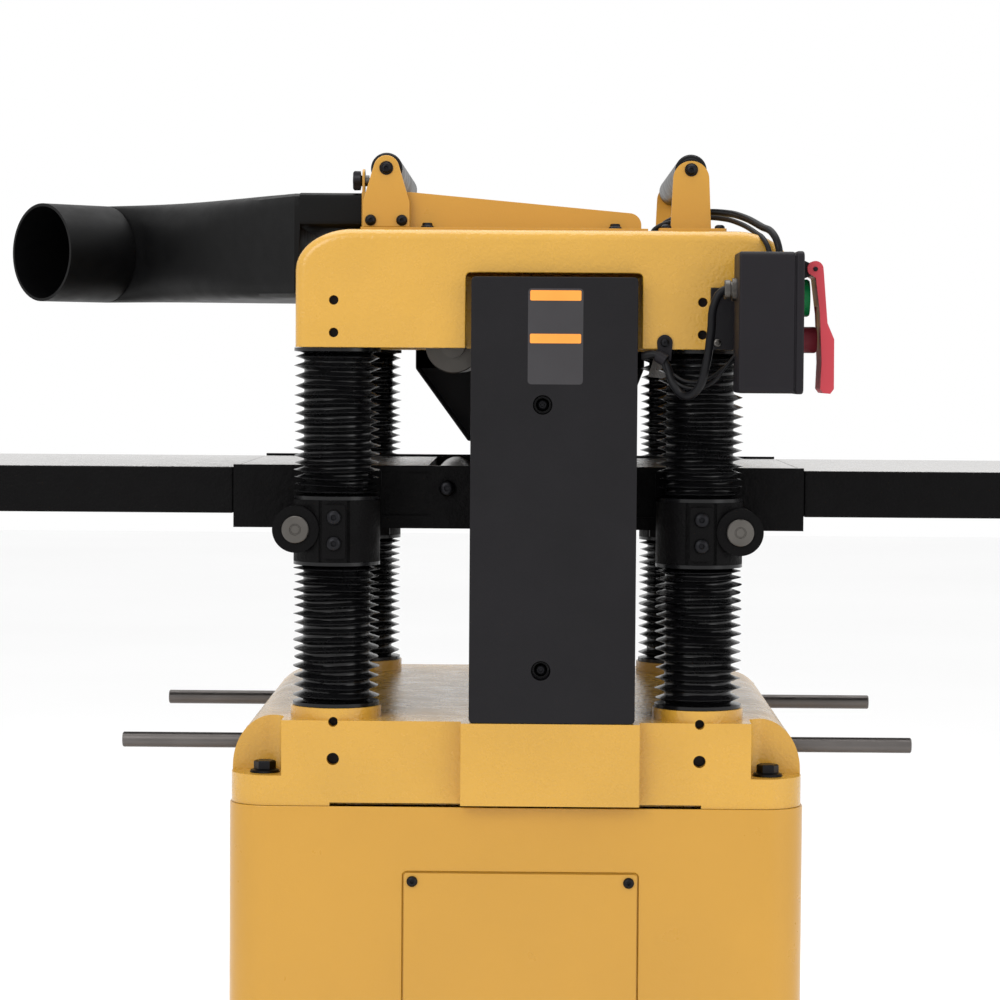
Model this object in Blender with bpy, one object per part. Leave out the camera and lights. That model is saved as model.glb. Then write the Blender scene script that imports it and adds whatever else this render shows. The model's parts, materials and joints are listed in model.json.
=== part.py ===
"""Closed-stand thickness planer with four columns, a fixed head and a table that rises on two screws.

Metres, +Z up, origin on the floor under the middle of the four columns. +X is the infeed end, where the
stop paddle is; -Y is the side with the belt cover, and +Y the side with the handwheel.
"""

import math

import bmesh
import bpy
from mathutils import Matrix, Vector

GAP = 0.0003  # between pieces that touch
SHAFT_GAP = 0.0004  # round a shaft in its hole, faceted walls included

# Columns and bellows
COLUMN_X, COLUMN_Y, COLUMN_R = 0.176, 0.240, 0.025
COLUMN_BOTTOM, COLUMN_TOP = 0.530, 1.030
BELLOWS_R, BELLOWS_BORE_R = 0.042, 0.0275

# Cabinet
CABINET_X, CABINET_Y, CABINET_TOP = 0.278, 0.290, 0.5085
CABINET_CORNER_R, SHEET = 0.040, 0.003
PANEL_X, PANEL_Z, PANEL_THICK = (-0.107, 0.117), (0.052, 0.445), 0.0015
DOORWAY_EDGE, PANEL_CORNER_R = 0.006, 0.003

# Base casting
BASE_X, BASE_Y, BASE_DECK, BASE_WALL = 0.2765, 0.288, 0.591, 0.014
BASE_BOTTOM = CABINET_TOP + GAP
BASE_CORNER_R, SHOULDER = 0.040, (0.040, 0.050)
BOSS_R, BOSS_TOP, SOCKET_R, SOCKET_BOTTOM = 0.044, 0.602, 0.030, 0.522
POCKET_X, POCKET_Y, POCKET_FLOOR, CORNER_WALL = 0.225, 0.240, 0.5375, 0.016
LUG_X, LUG_HALF_Y, LUG_BOTTOM = (0.150, 0.170), 0.012, 0.547
WHEEL_BOSS_R, WHEEL_BOSS_Y, WHEEL_BORE_R, NUT_BORE_R = 0.022, 0.305, 0.0085, 0.0207
PAD_X, PAD_Y = (-0.053, 0.118), (-0.305, -0.248)
BELT_SLOT_X, BELT_SLOT_Y = (-0.033, 0.093), (-0.292, -0.258)

# Table
TABLE_X, TABLE_Y, TABLE_Z, TABLE_TOP = 0.281, 0.196, 0.7715, 0.831
TABLE_PLATE, TABLE_WALL, WORK_Y, LIP_TOP = 0.016, 0.012, 0.1905, 0.8335
COLLAR_R, COLLAR_Z, COLLAR_WEB = 0.042, (0.7425, 0.802), (0.0315, 0.222)
COLLAR_PAD_W, COLLAR_PAD_Y = 0.022, (0.262, 0.287)
LOCK_X, LOCK_Z, LOCK_BOSS_R, LOCK_FACE_Y = 0.2135, 0.774, 0.0225, 0.280
LOCK_SHAFT_R, LOCK_BORE_R = 0.009, 0.0095
SCREW_PAD_X, SCREW_PAD_HALF_Y = (0.018, 0.062), 0.025
EXTENSION_X, EXTENSION_Y, EXTENSION_Z = 0.610, 0.190, 0.785
BED_ROLLERS = {"rear_bed_roller": -0.070, "front_bed_roller": 0.090}
BED_ROLLER_R, BED_ROLLER_PROUD, BED_ROLLER_Y = 0.020, 0.0004, 0.183
BED_JOURNAL_R, BED_JOURNAL_Y = 0.0075, 0.199

# Head
HEAD_X, HEAD_Y, HEAD_Z, HEAD_WALL = (-0.214, 0.261), 0.290, (0.949, 1.062), 0.012
HEAD_CORNER = (0.055, 0.040)
NOTCH_X, NOTCH_TOP = (-0.051, 0.1175), 1.021
CHEEK_Y, CHEEK_TOP, HEAD_BOSS_R = (0.198, 0.210), 1.020, 0.034
OUTLET_X, OUTLET_Y = (-0.115, 0.040), 0.180
CUTTER_X, CUTTER_Z, CUTTER_R, CUTTER_Y = 0.010, 0.965, 0.040, 0.192
FEED_ROLLERS = {"outfeed_roller": -0.065, "infeed_roller": 0.085}
FEED_Z, FEED_R, FEED_Y = 0.952, 0.0275, 0.187
FINGER_X, FINGER_Z, FINGER_COUNT = 0.160, 0.962, 10

# Drive, raised by belt from the motor in the cabinet
BELT_Y = (-0.283, -0.263)
CUTTER_PULLEY_R, MOTOR_PULLEY_R, BELT_THICK, BELT_CLEAR = 0.035, 0.050, 0.005, 0.0008
MOTOR_X, MOTOR_Z, MOTOR_R, MOTOR_Y = 0.035, 0.230, 0.090, (-0.235, 0.030)
COVER_X, COVER_Y, COVER_Z = (-0.0455, 0.113), (-0.305, -0.255), (0.5915, 1.017)
COVER_HOLE_X, COVER_HOLES_Z, COVER_HOLE_R = 0.023, (0.642, 0.8955), 0.0093

# Table raising gear
SCREW_X, SCREW_Y, SCREW_R, SCREW_BOTTOM = 0.040, 0.150, 0.008, 0.440
SPROCKET_R, SPROCKET_Z = 0.035, (0.565, 0.572)
WHEEL_Z, WHEEL_R, WHEEL_Y = 0.540, 0.085, 0.330

# Rollers and hood on top of the head
RETURN_ROLLERS = {"rear_return_roller": -0.1315, "front_return_roller": 0.167}
RETURN_Z, RETURN_R, BRACKET_Y = 1.125, 0.0155, (0.2000, 0.2040)
AXLE_R, AXLE_Y, ROLLER_END_GAP = 0.005, 0.206, 0.003
HOOD_X, HOOD_Y, HOOD_FALL_X = (-0.156, 0.119), 0.192, -0.108
HOOD_REAR_TOP, HOOD_FRONT_TOP, HOOD_FRONT_R, HOOD_SHEET = 1.1022, 1.083, 0.012, 0.0025
HOOD_FLANGE, HOOD_FLANGE_OUT = 0.0047, 0.020
CHUTE_Y, CHUTE_Z, CHUTE_WALL, CHUTE_REAR_LOW = 0.188, 1.1022, 0.003, 0.998
CHUTE_DROP_X = (-0.2175, -0.2225)
PORT_BASE, PORT_MOUTH, PORT_R, PORT_Z = (-0.4394, 0.0501), (-0.4995, -0.0100), 0.051, 1.047

# Switch
SWITCH_X, SWITCH_Y, SWITCH_Z = (0.203, 0.263), (-0.392, -0.312), (0.908, 1.040)
SWITCH_PLATE_X, SWITCH_PLATE_Y, SWITCH_PLATE_Z = (0.182, 0.258), -0.297, (0.949, 1.008)
SWITCH_ARM_X, SWITCH_ARM_Z = (0.206, 0.258), (0.952, 1.005)
PADDLE_X, PADDLE_Z, PADDLE_Y, PADDLE_EYE_R = 0.2745, 1.024, (-0.372, -0.318), 0.0075
BUTTON_Y, BUTTON_TRAVEL = -0.345, 0.004
START_Z, START_R, START_FACE_X = 0.9975, 0.0175, 0.2715
STOP_Z, STOP_R, STOP_FACE_X = 0.9585, 0.0123, 0.2787

LIFT_BAR_R, LIFT_BAR_Y, LIFT_BAR_Z = 0.0075, 0.200, 0.561
LIFT_BAR_X = (0.139, 0.389)

YELLOW = (0.80, 0.42, 0.07)
BLACK = (0.022, 0.022, 0.024)
IRON = (0.028, 0.028, 0.028)
STEEL = (0.42, 0.41, 0.40)


def clear_scene():
    for old in list(bpy.data.objects):
        bpy.data.objects.remove(old)


def material(name, colour, roughness, metallic=0.0):
    """The named Principled material, made once."""
    if name in bpy.data.materials:
        return bpy.data.materials[name]
    made = bpy.data.materials.new(name)
    made.use_nodes = True
    shader = made.node_tree.nodes["Principled BSDF"]
    shader.inputs["Base Color"].default_value = (*colour, 1.0)
    shader.inputs["Roughness"].default_value = roughness
    shader.inputs["Metallic"].default_value = metallic
    return made


def paint():
    return material("yellow_paint", YELLOW, 0.25)


def black_paint():
    return material("black_paint", BLACK, 0.4)


def cast_iron():
    return material("black_cast_iron", IRON, 0.6)


def steel():
    return material("steel", STEEL, 0.35, 1.0)


def plastic():
    return material("black_plastic", BLACK, 0.5)


def finish_mesh(name, bm, skin=None, smooth=False):
    """Turns the bmesh into an object whose faces point out."""
    bmesh.ops.remove_doubles(bm, verts=bm.verts, dist=1e-7)
    bmesh.ops.recalc_face_normals(bm, faces=bm.faces)
    mesh = bpy.data.meshes.new(name)
    bm.to_mesh(mesh)
    bm.free()
    made = bpy.data.objects.new(name, mesh)
    bpy.context.scene.collection.objects.link(made)
    if skin:
        mesh.materials.append(skin)
    if smooth:
        mesh.shade_smooth()
        mesh.set_sharp_from_angle(angle=math.radians(35))
    return made


def box(name, x, y, z, skin=None):
    bm = bmesh.new()
    bmesh.ops.create_cube(bm, size=1.0)
    for vert in bm.verts:
        vert.co = Vector(
            [low + (co + 0.5) * (high - low) for co, (low, high) in zip(vert.co, (x, y, z))]
        )
    return finish_mesh(name, bm, skin)


def turned(name, profile, centre, axis, sides=20, skin=None):
    """Turns a closed profile of (radius, height along axis) round the axis through centre."""
    bm = bmesh.new()
    turn = Vector((0, 0, 1)).rotation_difference(Vector(axis)).to_matrix().to_4x4()
    place = Matrix.Translation(centre) @ turn
    rings = []
    for radius, height in profile:
        if radius == 0:
            rings.append([bm.verts.new(place @ Vector((0, 0, height)))] * sides)
            continue
        angles = [math.tau * i / sides for i in range(sides)]
        rings.append(
            [
                bm.verts.new(place @ Vector((radius * math.cos(a), radius * math.sin(a), height)))
                for a in angles
            ]
        )
    hollow = all(radius > 0 for radius, _ in profile)
    pairs = list(zip(rings, rings[1:])) + ([(rings[-1], rings[0])] if hollow else [])
    for low, high in pairs:
        for i in range(sides):
            j = (i + 1) % sides
            corners = list(dict.fromkeys([low[i], low[j], high[j], high[i]]))
            if len(corners) > 2:
                bm.faces.new(corners)
    return finish_mesh(name, bm, skin, smooth=True)


def rod(name, radius, start, end, sides=20, skin=None):
    start, end = Vector(start), Vector(end)
    length = (end - start).length
    profile = [(0, 0), (radius, 0), (radius, length), (0, length)]
    return turned(name, profile, start, end - start, sides, skin)


def tube(name, radius, bore, start, end, sides=20, skin=None):
    start, end = Vector(start), Vector(end)
    length = (end - start).length
    profile = [(bore, 0), (radius, 0), (radius, length), (bore, length)]
    return turned(name, profile, start, end - start, sides, skin)


def prism(name, outline, low, high, axis="y", skin=None, inner=None):
    """Extrudes an outline of (x, z) along Y, or of (x, y) along Z, with an optional inner outline."""
    bm = bmesh.new()

    def ring(points, level):
        if axis == "y":
            return [bm.verts.new((x, level, z)) for x, z in points]
        return [bm.verts.new((x, y, level)) for x, y in points]

    loops = [(ring(outline, low), ring(outline, high))]
    if inner:
        loops.append((ring(inner, low), ring(inner, high)))
    for first, last in loops:
        for i, vert in enumerate(first):
            j = (i + 1) % len(first)
            bm.faces.new((vert, first[j], last[j], last[i]))
    for end in (0, 1):
        if not inner:
            bm.faces.new(loops[0][end])
            continue
        outer_end, inner_end = loops[0][end], loops[1][end]
        for i, vert in enumerate(outer_end):
            j = (i + 1) % len(outer_end)
            bm.faces.new((vert, outer_end[j], inner_end[j], inner_end[i]))
    return finish_mesh(name, bm, skin)


def arc(centre, radii, start, end, steps):
    """Points on an ellipse's arc, angles in degrees."""
    angles = [math.radians(start + (end - start) * i / steps) for i in range(steps + 1)]
    return [
        (centre[0] + radii[0] * math.cos(a), centre[1] + radii[1] * math.sin(a)) for a in angles
    ]


def round_rectangle(x, z, radius, steps=4):
    corners = (
        ((x[1] - radius, z[1] - radius), 0),
        ((x[0] + radius, z[1] - radius), 90),
        ((x[0] + radius, z[0] + radius), 180),
        ((x[1] - radius, z[0] + radius), 270),
    )
    points = []
    for centre, start in corners:
        points += arc(centre, (radius, radius), start, start + 90, steps)
    return points


def boolean(target, tool, operation):
    change = target.modifiers.new(tool.name, "BOOLEAN")
    change.operation = operation
    change.solver = "EXACT"
    change.object = tool
    tool.hide_render = True
    tool.display_type = "WIRE"
    return target


def fuse(target, *tools):
    for tool in tools:
        boolean(target, tool, "UNION")
    return target


def cut(target, *tools):
    for tool in tools:
        boolean(target, tool, "DIFFERENCE")
    return target


def set_origin(target, point):
    """Moves the object's origin, and not its shape, to a point on its joint's axis."""
    target.data.transform(Matrix.Translation(-Vector(point)))
    target.location = point
    return target


def corners(x, y):
    """The four column places, with the names of their corners."""
    for x_name, x_sign in (("rear", -1), ("front", 1)):
        for y_name, y_sign in (("left", -1), ("right", 1)):
            yield f"{x_name}_{y_name}", x * x_sign, y * y_sign


def cabinet():
    outer = round_rectangle((-CABINET_X, CABINET_X), (-CABINET_Y, CABINET_Y), CABINET_CORNER_R)
    inner = round_rectangle(
        (SHEET - CABINET_X, CABINET_X - SHEET),
        (SHEET - CABINET_Y, CABINET_Y - SHEET),
        CABINET_CORNER_R - SHEET,
    )
    shell = prism("cabinet_shell", outer, 0.0, CABINET_TOP, axis="z", skin=paint())
    hollow = prism("cabinet_hollow", inner, SHEET, CABINET_TOP + 0.01, axis="z")
    doorway = box(
        "cabinet_doorway",
        (PANEL_X[0] + DOORWAY_EDGE, PANEL_X[1] - DOORWAY_EDGE),
        (-CABINET_Y - 0.01, -CABINET_Y + 0.02),
        (PANEL_Z[0] + DOORWAY_EDGE, PANEL_Z[1] - DOORWAY_EDGE),
    )
    cut(shell, hollow, doorway)
    outline = round_rectangle(PANEL_X, PANEL_Z, PANEL_CORNER_R, steps=2)
    front = -CABINET_Y - GAP
    prism("motor_access_panel", outline, front - PANEL_THICK, front, skin=paint())


def base_casting():
    """A hollow casting: round shoulders along both ends, a boss per column, a bolt pocket per corner."""
    rx, rz = SHOULDER
    side_top = BASE_DECK - rz
    ceiling = BASE_DECK - BASE_WALL
    outline = [(-BASE_X, BASE_BOTTOM), (BASE_X, BASE_BOTTOM)]
    outline += arc((BASE_X - rx, side_top), SHOULDER, 0, 90, 6)
    outline += arc((rx - BASE_X, side_top), SHOULDER, 90, 180, 6)
    base = prism("base_casting", outline, -BASE_Y, BASE_Y, skin=paint())
    plan = round_rectangle((-BASE_X, BASE_X), (-BASE_Y, BASE_Y), BASE_CORNER_R, steps=5)
    boolean(base, prism("base_plan", plan, BASE_BOTTOM - 0.01, BASE_DECK + 0.01, axis="z"), "INTERSECT")
    inner_x, inner_y = BASE_X - BASE_WALL, BASE_Y - BASE_WALL
    hollow_z = (BASE_BOTTOM - 0.01, ceiling)
    cut(base, box("base_hollow", (-inner_x, inner_x), (-inner_y, inner_y), hollow_z))
    for side in (-1, 1):
        ends = sorted((side * (inner_x + 0.001), side * (BASE_X - rx)))
        depth = (-inner_y - 0.001, inner_y + 0.001)
        fuse(base, box(f"base_shoulder_{side}", ends, depth, (side_top - 0.014, ceiling + 0.001)))
    for name, x, y in corners(COLUMN_X, COLUMN_Y):
        outward, side = x / abs(x), y / abs(y)
        y_bar = side * LIFT_BAR_Y
        fuse(
            base,
            box(
                f"base_corner_{name}",
                sorted((outward * (COLUMN_X + 0.024), outward * (inner_x + 0.001))),
                sorted((side * (POCKET_Y - CORNER_WALL), side * (inner_y + 0.001))),
                (BASE_BOTTOM, ceiling + 0.0015),
            ),
            rod(f"base_boss_{name}", BOSS_R, (x, y, BASE_DECK - 0.010), (x, y, BOSS_TOP)),
            rod(f"base_socket_{name}", SOCKET_R, (x, y, SOCKET_BOTTOM), (x, y, BASE_DECK - 0.005), 14),
            box(
                f"base_lug_{name}",
                sorted((outward * LUG_X[0], outward * LUG_X[1])),
                (y_bar - LUG_HALF_Y, y_bar + LUG_HALF_Y),
                (LUG_BOTTOM, ceiling + 0.002),
            ),
        )
    wheel_place = (SCREW_X, BASE_Y - 0.016, WHEEL_Z)
    fuse(
        base,
        box("belt_pad", PAD_X, PAD_Y, (BASE_BOTTOM, BASE_DECK)),
        rod("wheel_boss", WHEEL_BOSS_R, wheel_place, (SCREW_X, WHEEL_BOSS_Y, WHEEL_Z)),
    )
    for name, x, y in corners(COLUMN_X, COLUMN_Y):
        outward, side = x / abs(x), y / abs(y)
        y_bar = side * LIFT_BAR_Y
        bar_hole = ((outward * 0.140, y_bar, LIFT_BAR_Z), (outward * 0.290, y_bar, LIFT_BAR_Z))
        cut(
            base,
            rod(f"base_bore_{name}", COLUMN_R + SHAFT_GAP, (x, y, COLUMN_BOTTOM - GAP), (x, y, 0.62)),
            rod(f"bar_hole_{name}", LIFT_BAR_R + SHAFT_GAP, *bar_hole, 12),
            box(
                f"bolt_pocket_{name}",
                sorted((outward * POCKET_X, outward * 0.300)),
                sorted((side * POCKET_Y, side * 0.320)),
                (POCKET_FLOOR, 0.620),
            ),
        )
    cut(
        base,
        box("belt_slot", BELT_SLOT_X, BELT_SLOT_Y, (BASE_BOTTOM - 0.01, BASE_DECK + 0.01)),
        rod("wheel_hole", WHEEL_BORE_R, (SCREW_X, 0.25, WHEEL_Z), (SCREW_X, 0.32, WHEEL_Z), 16),
    )
    for side in (-1, 1):
        place = (SCREW_X, side * SCREW_Y)
        cut(base, rod(f"nut_hole_{side}", NUT_BORE_R, (*place, 0.57), (*place, 0.60), 16))


def columns_and_bellows():
    for name, x, y in corners(COLUMN_X, COLUMN_Y):
        rod(f"{name}_column", COLUMN_R, (x, y, COLUMN_BOTTOM), (x, y, COLUMN_TOP), skin=steel())
        rubber = material("bellows_rubber", BLACK, 0.35)
        spans = {
            "lower": (BOSS_TOP + GAP, COLLAR_Z[0] - GAP),
            "upper": (COLLAR_Z[1] + GAP, HEAD_Z[0] - GAP),
        }
        for place, (low, high) in spans.items():
            tube(
                f"{name}_{place}_bellows",
                BELLOWS_R,
                BELLOWS_BORE_R,
                (x, y, low),
                (x, y, high),
                16,
                rubber,
            )


def table():
    body = box(
        "table_casting",
        (-TABLE_X, TABLE_X),
        (-TABLE_Y, TABLE_Y),
        (TABLE_Z, LIP_TOP),
        cast_iron(),
    )
    cut(
        body,
        box("table_bed", (-0.3, 0.3), (-WORK_Y, WORK_Y), (TABLE_TOP, 0.85)),
        box(
            "table_hollow",
            (TABLE_WALL - TABLE_X, TABLE_X - TABLE_WALL),
            (TABLE_WALL - TABLE_Y, TABLE_Y - TABLE_WALL),
            (TABLE_Z - 0.01, TABLE_TOP - TABLE_PLATE),
        ),
    )
    for side in (-1, 1):
        y = side * SCREW_Y
        across = (y - SCREW_PAD_HALF_Y, y + SCREW_PAD_HALF_Y)
        pad = (TABLE_Z, TABLE_TOP - TABLE_PLATE + 0.002)
        fuse(body, box(f"screw_pad_{side}", SCREW_PAD_X, across, pad))
    for name, x, y in corners(COLUMN_X, COLUMN_Y):
        outward, side = x / abs(x), y / abs(y)
        web_y = sorted((side * (TABLE_Y - 0.004), side * COLLAR_WEB[1]))
        pad_y = sorted((side * COLLAR_PAD_Y[0], side * COLLAR_PAD_Y[1]))
        web_z = (COLLAR_Z[0] + 0.001, COLLAR_Z[1] - 0.001)
        boss_x = outward * LOCK_X
        fuse(
            body,
            rod(f"collar_{name}", COLLAR_R, (x, y, COLLAR_Z[0]), (x, y, COLLAR_Z[1]), 24),
            box(f"collar_web_{name}", (x - COLLAR_WEB[0], x + COLLAR_WEB[0]), web_y, web_z),
            box(
                f"gib_pad_{name}",
                (x - COLLAR_PAD_W / 2, x + COLLAR_PAD_W / 2),
                pad_y,
                (COLLAR_Z[0] + 0.005, COLLAR_Z[1] - 0.005),
            ),
            rod(
                f"lock_boss_{name}",
                LOCK_BOSS_R,
                (boss_x, side * (TABLE_Y - 0.004), LOCK_Z),
                (boss_x, side * LOCK_FACE_Y, LOCK_Z),
                20,
            ),
        )
    for name, x, y in corners(COLUMN_X, COLUMN_Y):
        cut(body, rod(f"collar_bore_{name}", COLUMN_R + SHAFT_GAP, (x, y, 0.73), (x, y, 0.82)))
    for outward in (-1, 1):
        x = outward * LOCK_X
        cut(body, rod(f"lock_hole_{outward}", LOCK_BORE_R, (x, -0.3, LOCK_Z), (x, 0.3, LOCK_Z), 14))
    for name, x in BED_ROLLERS.items():
        height = TABLE_TOP + BED_ROLLER_PROUD - BED_ROLLER_R
        half = BED_ROLLER_R + 0.0015
        cut(
            body,
            box(
                f"slot_{name}",
                (x - half, x + half),
                (-BED_ROLLER_Y - 0.0015, BED_ROLLER_Y + 0.0015),
                (0.76, 0.85),
            ),
            rod(f"hole_{name}", BED_JOURNAL_R + SHAFT_GAP, (x, -0.21, height), (x, 0.21, height), 12),
        )


def extensions():
    for name, outward in (("outfeed_extension", -1), ("infeed_extension", 1)):
        near, far = outward * (TABLE_X + GAP), outward * EXTENSION_X
        plate = box(
            name,
            sorted((near, far)),
            (-EXTENSION_Y, EXTENSION_Y),
            (EXTENSION_Z, TABLE_TOP),
            cast_iron(),
        )
        cut(
            plate,
            box(
                f"{name}_hollow",
                sorted((near + outward * TABLE_WALL, far - outward * TABLE_WALL)),
                (TABLE_WALL - EXTENSION_Y, EXTENSION_Y - TABLE_WALL),
                (EXTENSION_Z - 0.01, TABLE_TOP - TABLE_WALL),
            ),
        )


def bed_rollers():
    for name, x in BED_ROLLERS.items():
        height = TABLE_TOP + BED_ROLLER_PROUD - BED_ROLLER_R
        profile = [
            (0, -BED_JOURNAL_Y),
            (BED_JOURNAL_R, -BED_JOURNAL_Y),
            (BED_JOURNAL_R, -BED_ROLLER_Y),
            (BED_ROLLER_R, -BED_ROLLER_Y),
            (BED_ROLLER_R, BED_ROLLER_Y),
            (BED_JOURNAL_R, BED_ROLLER_Y),
            (BED_JOURNAL_R, BED_JOURNAL_Y),
            (0, BED_JOURNAL_Y),
        ]
        roller = turned(name, profile, (x, 0, height), (0, 1, 0), skin=steel())
        set_origin(roller, (x, 0, height))


def table_locks():
    for name, outward in (("rear_table_lock", -1), ("front_table_lock", 1)):
        x = outward * LOCK_X
        shaft = rod(name, LOCK_SHAFT_R, (x, -0.2815, LOCK_Z), (x, 0.295, LOCK_Z), 12, steel())
        fuse(
            shaft,
            rod(f"{name}_disc", 0.0108, (x, -0.2833, LOCK_Z), (x, -0.2803, LOCK_Z), 16),
            rod(f"{name}_hub", 0.016, (x, 0.2815, LOCK_Z), (x, 0.305, LOCK_Z), 12),
            rod(f"{name}_arm", 0.006, (x, 0.295, LOCK_Z), (x, 0.303, LOCK_Z - 0.075), 8),
            turned(
                f"{name}_knob",
                [(0, -0.013), (0.008, -0.011), (0.011, 0), (0.008, 0.011), (0, 0.013)],
                (x, 0.303, LOCK_Z - 0.082),
                (0, 0, 1),
                12,
            ),
        )
        set_origin(shaft, (x, 0, LOCK_Z))


def raising_gear():
    for name, side in (("left", -1), ("right", 1)):
        x, y = SCREW_X, side * SCREW_Y
        profile = [
            (0, SCREW_BOTTOM),
            (SCREW_R, SCREW_BOTTOM),
            (SCREW_R, 0.758),
            (0.016, 0.758),
            (0.016, TABLE_Z - GAP),
            (0, TABLE_Z - GAP),
        ]
        turned(f"{name}_elevating_screw", profile, (x, y, 0), (0, 0, 1), 12, steel())
        bore = SCREW_R + SHAFT_GAP
        nut = [
            (bore, 0.5545),
            (0.0136, 0.5545),
            (0.0236, 0.5645),
            (SPROCKET_R, SPROCKET_Z[0]),
            (SPROCKET_R, SPROCKET_Z[1]),
            (0.020, SPROCKET_Z[1]),
            (0.020, BASE_DECK + GAP),
            (0.028, BASE_DECK + GAP),
            (0.028, 0.601),
            (bore, 0.601),
        ]
        turned(f"{name}_sprocket_nut", nut, (x, y, 0), (0, 0, 1), 16, steel())
        set_origin(bpy.data.objects[f"{name}_sprocket_nut"], (x, y, 0))
    inner, outer = SPROCKET_R + BELT_CLEAR, SPROCKET_R + 0.006
    loops = [
        arc((SCREW_X, SCREW_Y), (r, r), 0, 180, 10) + arc((SCREW_X, -SCREW_Y), (r, r), 180, 360, 10)
        for r in (outer, inner)
    ]
    prism("elevation_chain", loops[0], *SPROCKET_Z, axis="z", skin=steel(), inner=loops[1])


def handwheel():
    x, z, y = SCREW_X, WHEEL_Z, WHEEL_Y
    gear_face = SCREW_Y + 0.0145
    profile = [
        (0, gear_face),
        (0.0136, gear_face),
        (0.0236, gear_face + 0.010),
        (0.0236, gear_face + 0.014),
        (0.008, gear_face + 0.014),
        (0.008, 0.306),
        (0.020, 0.306),
        (0.020, y + 0.010),
        (0, y + 0.010),
    ]
    wheel = turned("handwheel", profile, (x, 0, z), (0, 1, 0), 14, cast_iron())
    rim_section = arc((WHEEL_R, y), (0.009, 0.009), 0, 300, 5)
    fuse(wheel, turned("handwheel_rim", rim_section, (x, 0, z), (0, 1, 0), 24))
    for i in range(3):
        angle = math.radians(15 + 120 * i)
        reach = Vector((math.cos(angle), 0, math.sin(angle)))
        start = Vector((x, y - 0.004, z)) + reach * 0.012
        fuse(wheel, rod(f"spoke_{i}", 0.007, start, Vector((x, y, z)) + reach * WHEEL_R, 8))
    grip_x, grip_z = grip_place()
    fuse(wheel, rod("grip_pin", 0.004, (grip_x, y, grip_z), (grip_x, y + 0.068, grip_z), 12))
    set_origin(wheel, (x, y, z))
    bore = 0.004 + SHAFT_GAP
    profile = [
        (bore, 0.0110),
        (0.009, 0.0110),
        (0.012, 0.030),
        (0.010, 0.055),
        (0.007, 0.064),
        (bore, 0.064),
    ]
    grip = turned("handwheel_grip", profile, (grip_x, y, grip_z), (0, 1, 0), 12, plastic())
    set_origin(grip, (grip_x, y, grip_z))


def grip_place():
    """The grip sits on the rim, low on the wheel and towards the outfeed end."""
    angle = math.radians(225)
    return SCREW_X + WHEEL_R * math.cos(angle), WHEEL_Z + WHEEL_R * math.sin(angle)


def head_casting():
    rx, rz = HEAD_CORNER

    def outline(inset):
        low, high = HEAD_X[0] + inset, HEAD_X[1] - inset
        size = (rx - inset, rz - inset)
        points = [(low, HEAD_Z[0] - inset), (high, HEAD_Z[0] - inset)]
        points += arc((HEAD_X[1] - rx, HEAD_Z[1] - rz), size, 0, 90, 6)
        points += arc((HEAD_X[0] + rx, HEAD_Z[1] - rz), size, 90, 180, 6)
        return points

    head = prism("head_casting", outline(0.0), -HEAD_Y, HEAD_Y, skin=paint())
    cut(head, prism("head_hollow", outline(HEAD_WALL), HEAD_WALL - HEAD_Y, HEAD_Y - HEAD_WALL))
    for side in (-1, 1):
        fuse(
            head,
            box(
                f"cheek_{side}",
                (HEAD_X[0] + 0.006, HEAD_X[1] - 0.006),
                sorted((side * CHEEK_Y[0], side * CHEEK_Y[1])),
                (HEAD_Z[0], CHEEK_TOP),
            ),
        )
    for name, x, y in corners(COLUMN_X, COLUMN_Y):
        top = (x, y, COLUMN_TOP + 0.0025)
        fuse(head, rod(f"head_boss_{name}", HEAD_BOSS_R, (x, y, HEAD_Z[0]), top, 16))
    for name, x, y in corners(COLUMN_X, COLUMN_Y):
        bore = COLUMN_R + SHAFT_GAP
        cut(head, rod(f"head_bore_{name}", bore, (x, y, 0.93), (x, y, COLUMN_TOP + GAP)))
    cut(
        head,
        box("belt_notch", NOTCH_X, (-0.30, -0.250), (0.93, NOTCH_TOP)),
        box("chip_outlet", OUTLET_X, (-OUTLET_Y, OUTLET_Y), (1.040, 1.080)),
        rod("cutter_bore", 0.0155, (CUTTER_X, -0.25, CUTTER_Z), (CUTTER_X, 0.30, CUTTER_Z), 20),
        rod("finger_bore", 0.0065, (FINGER_X, -0.2056, FINGER_Z), (FINGER_X, 0.2056, FINGER_Z), 12),
    )
    for name, x in FEED_ROLLERS.items():
        cut(head, rod(f"{name}_bore", 0.0125, (x, -0.22, FEED_Z), (x, 0.30, FEED_Z), 16))


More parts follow.
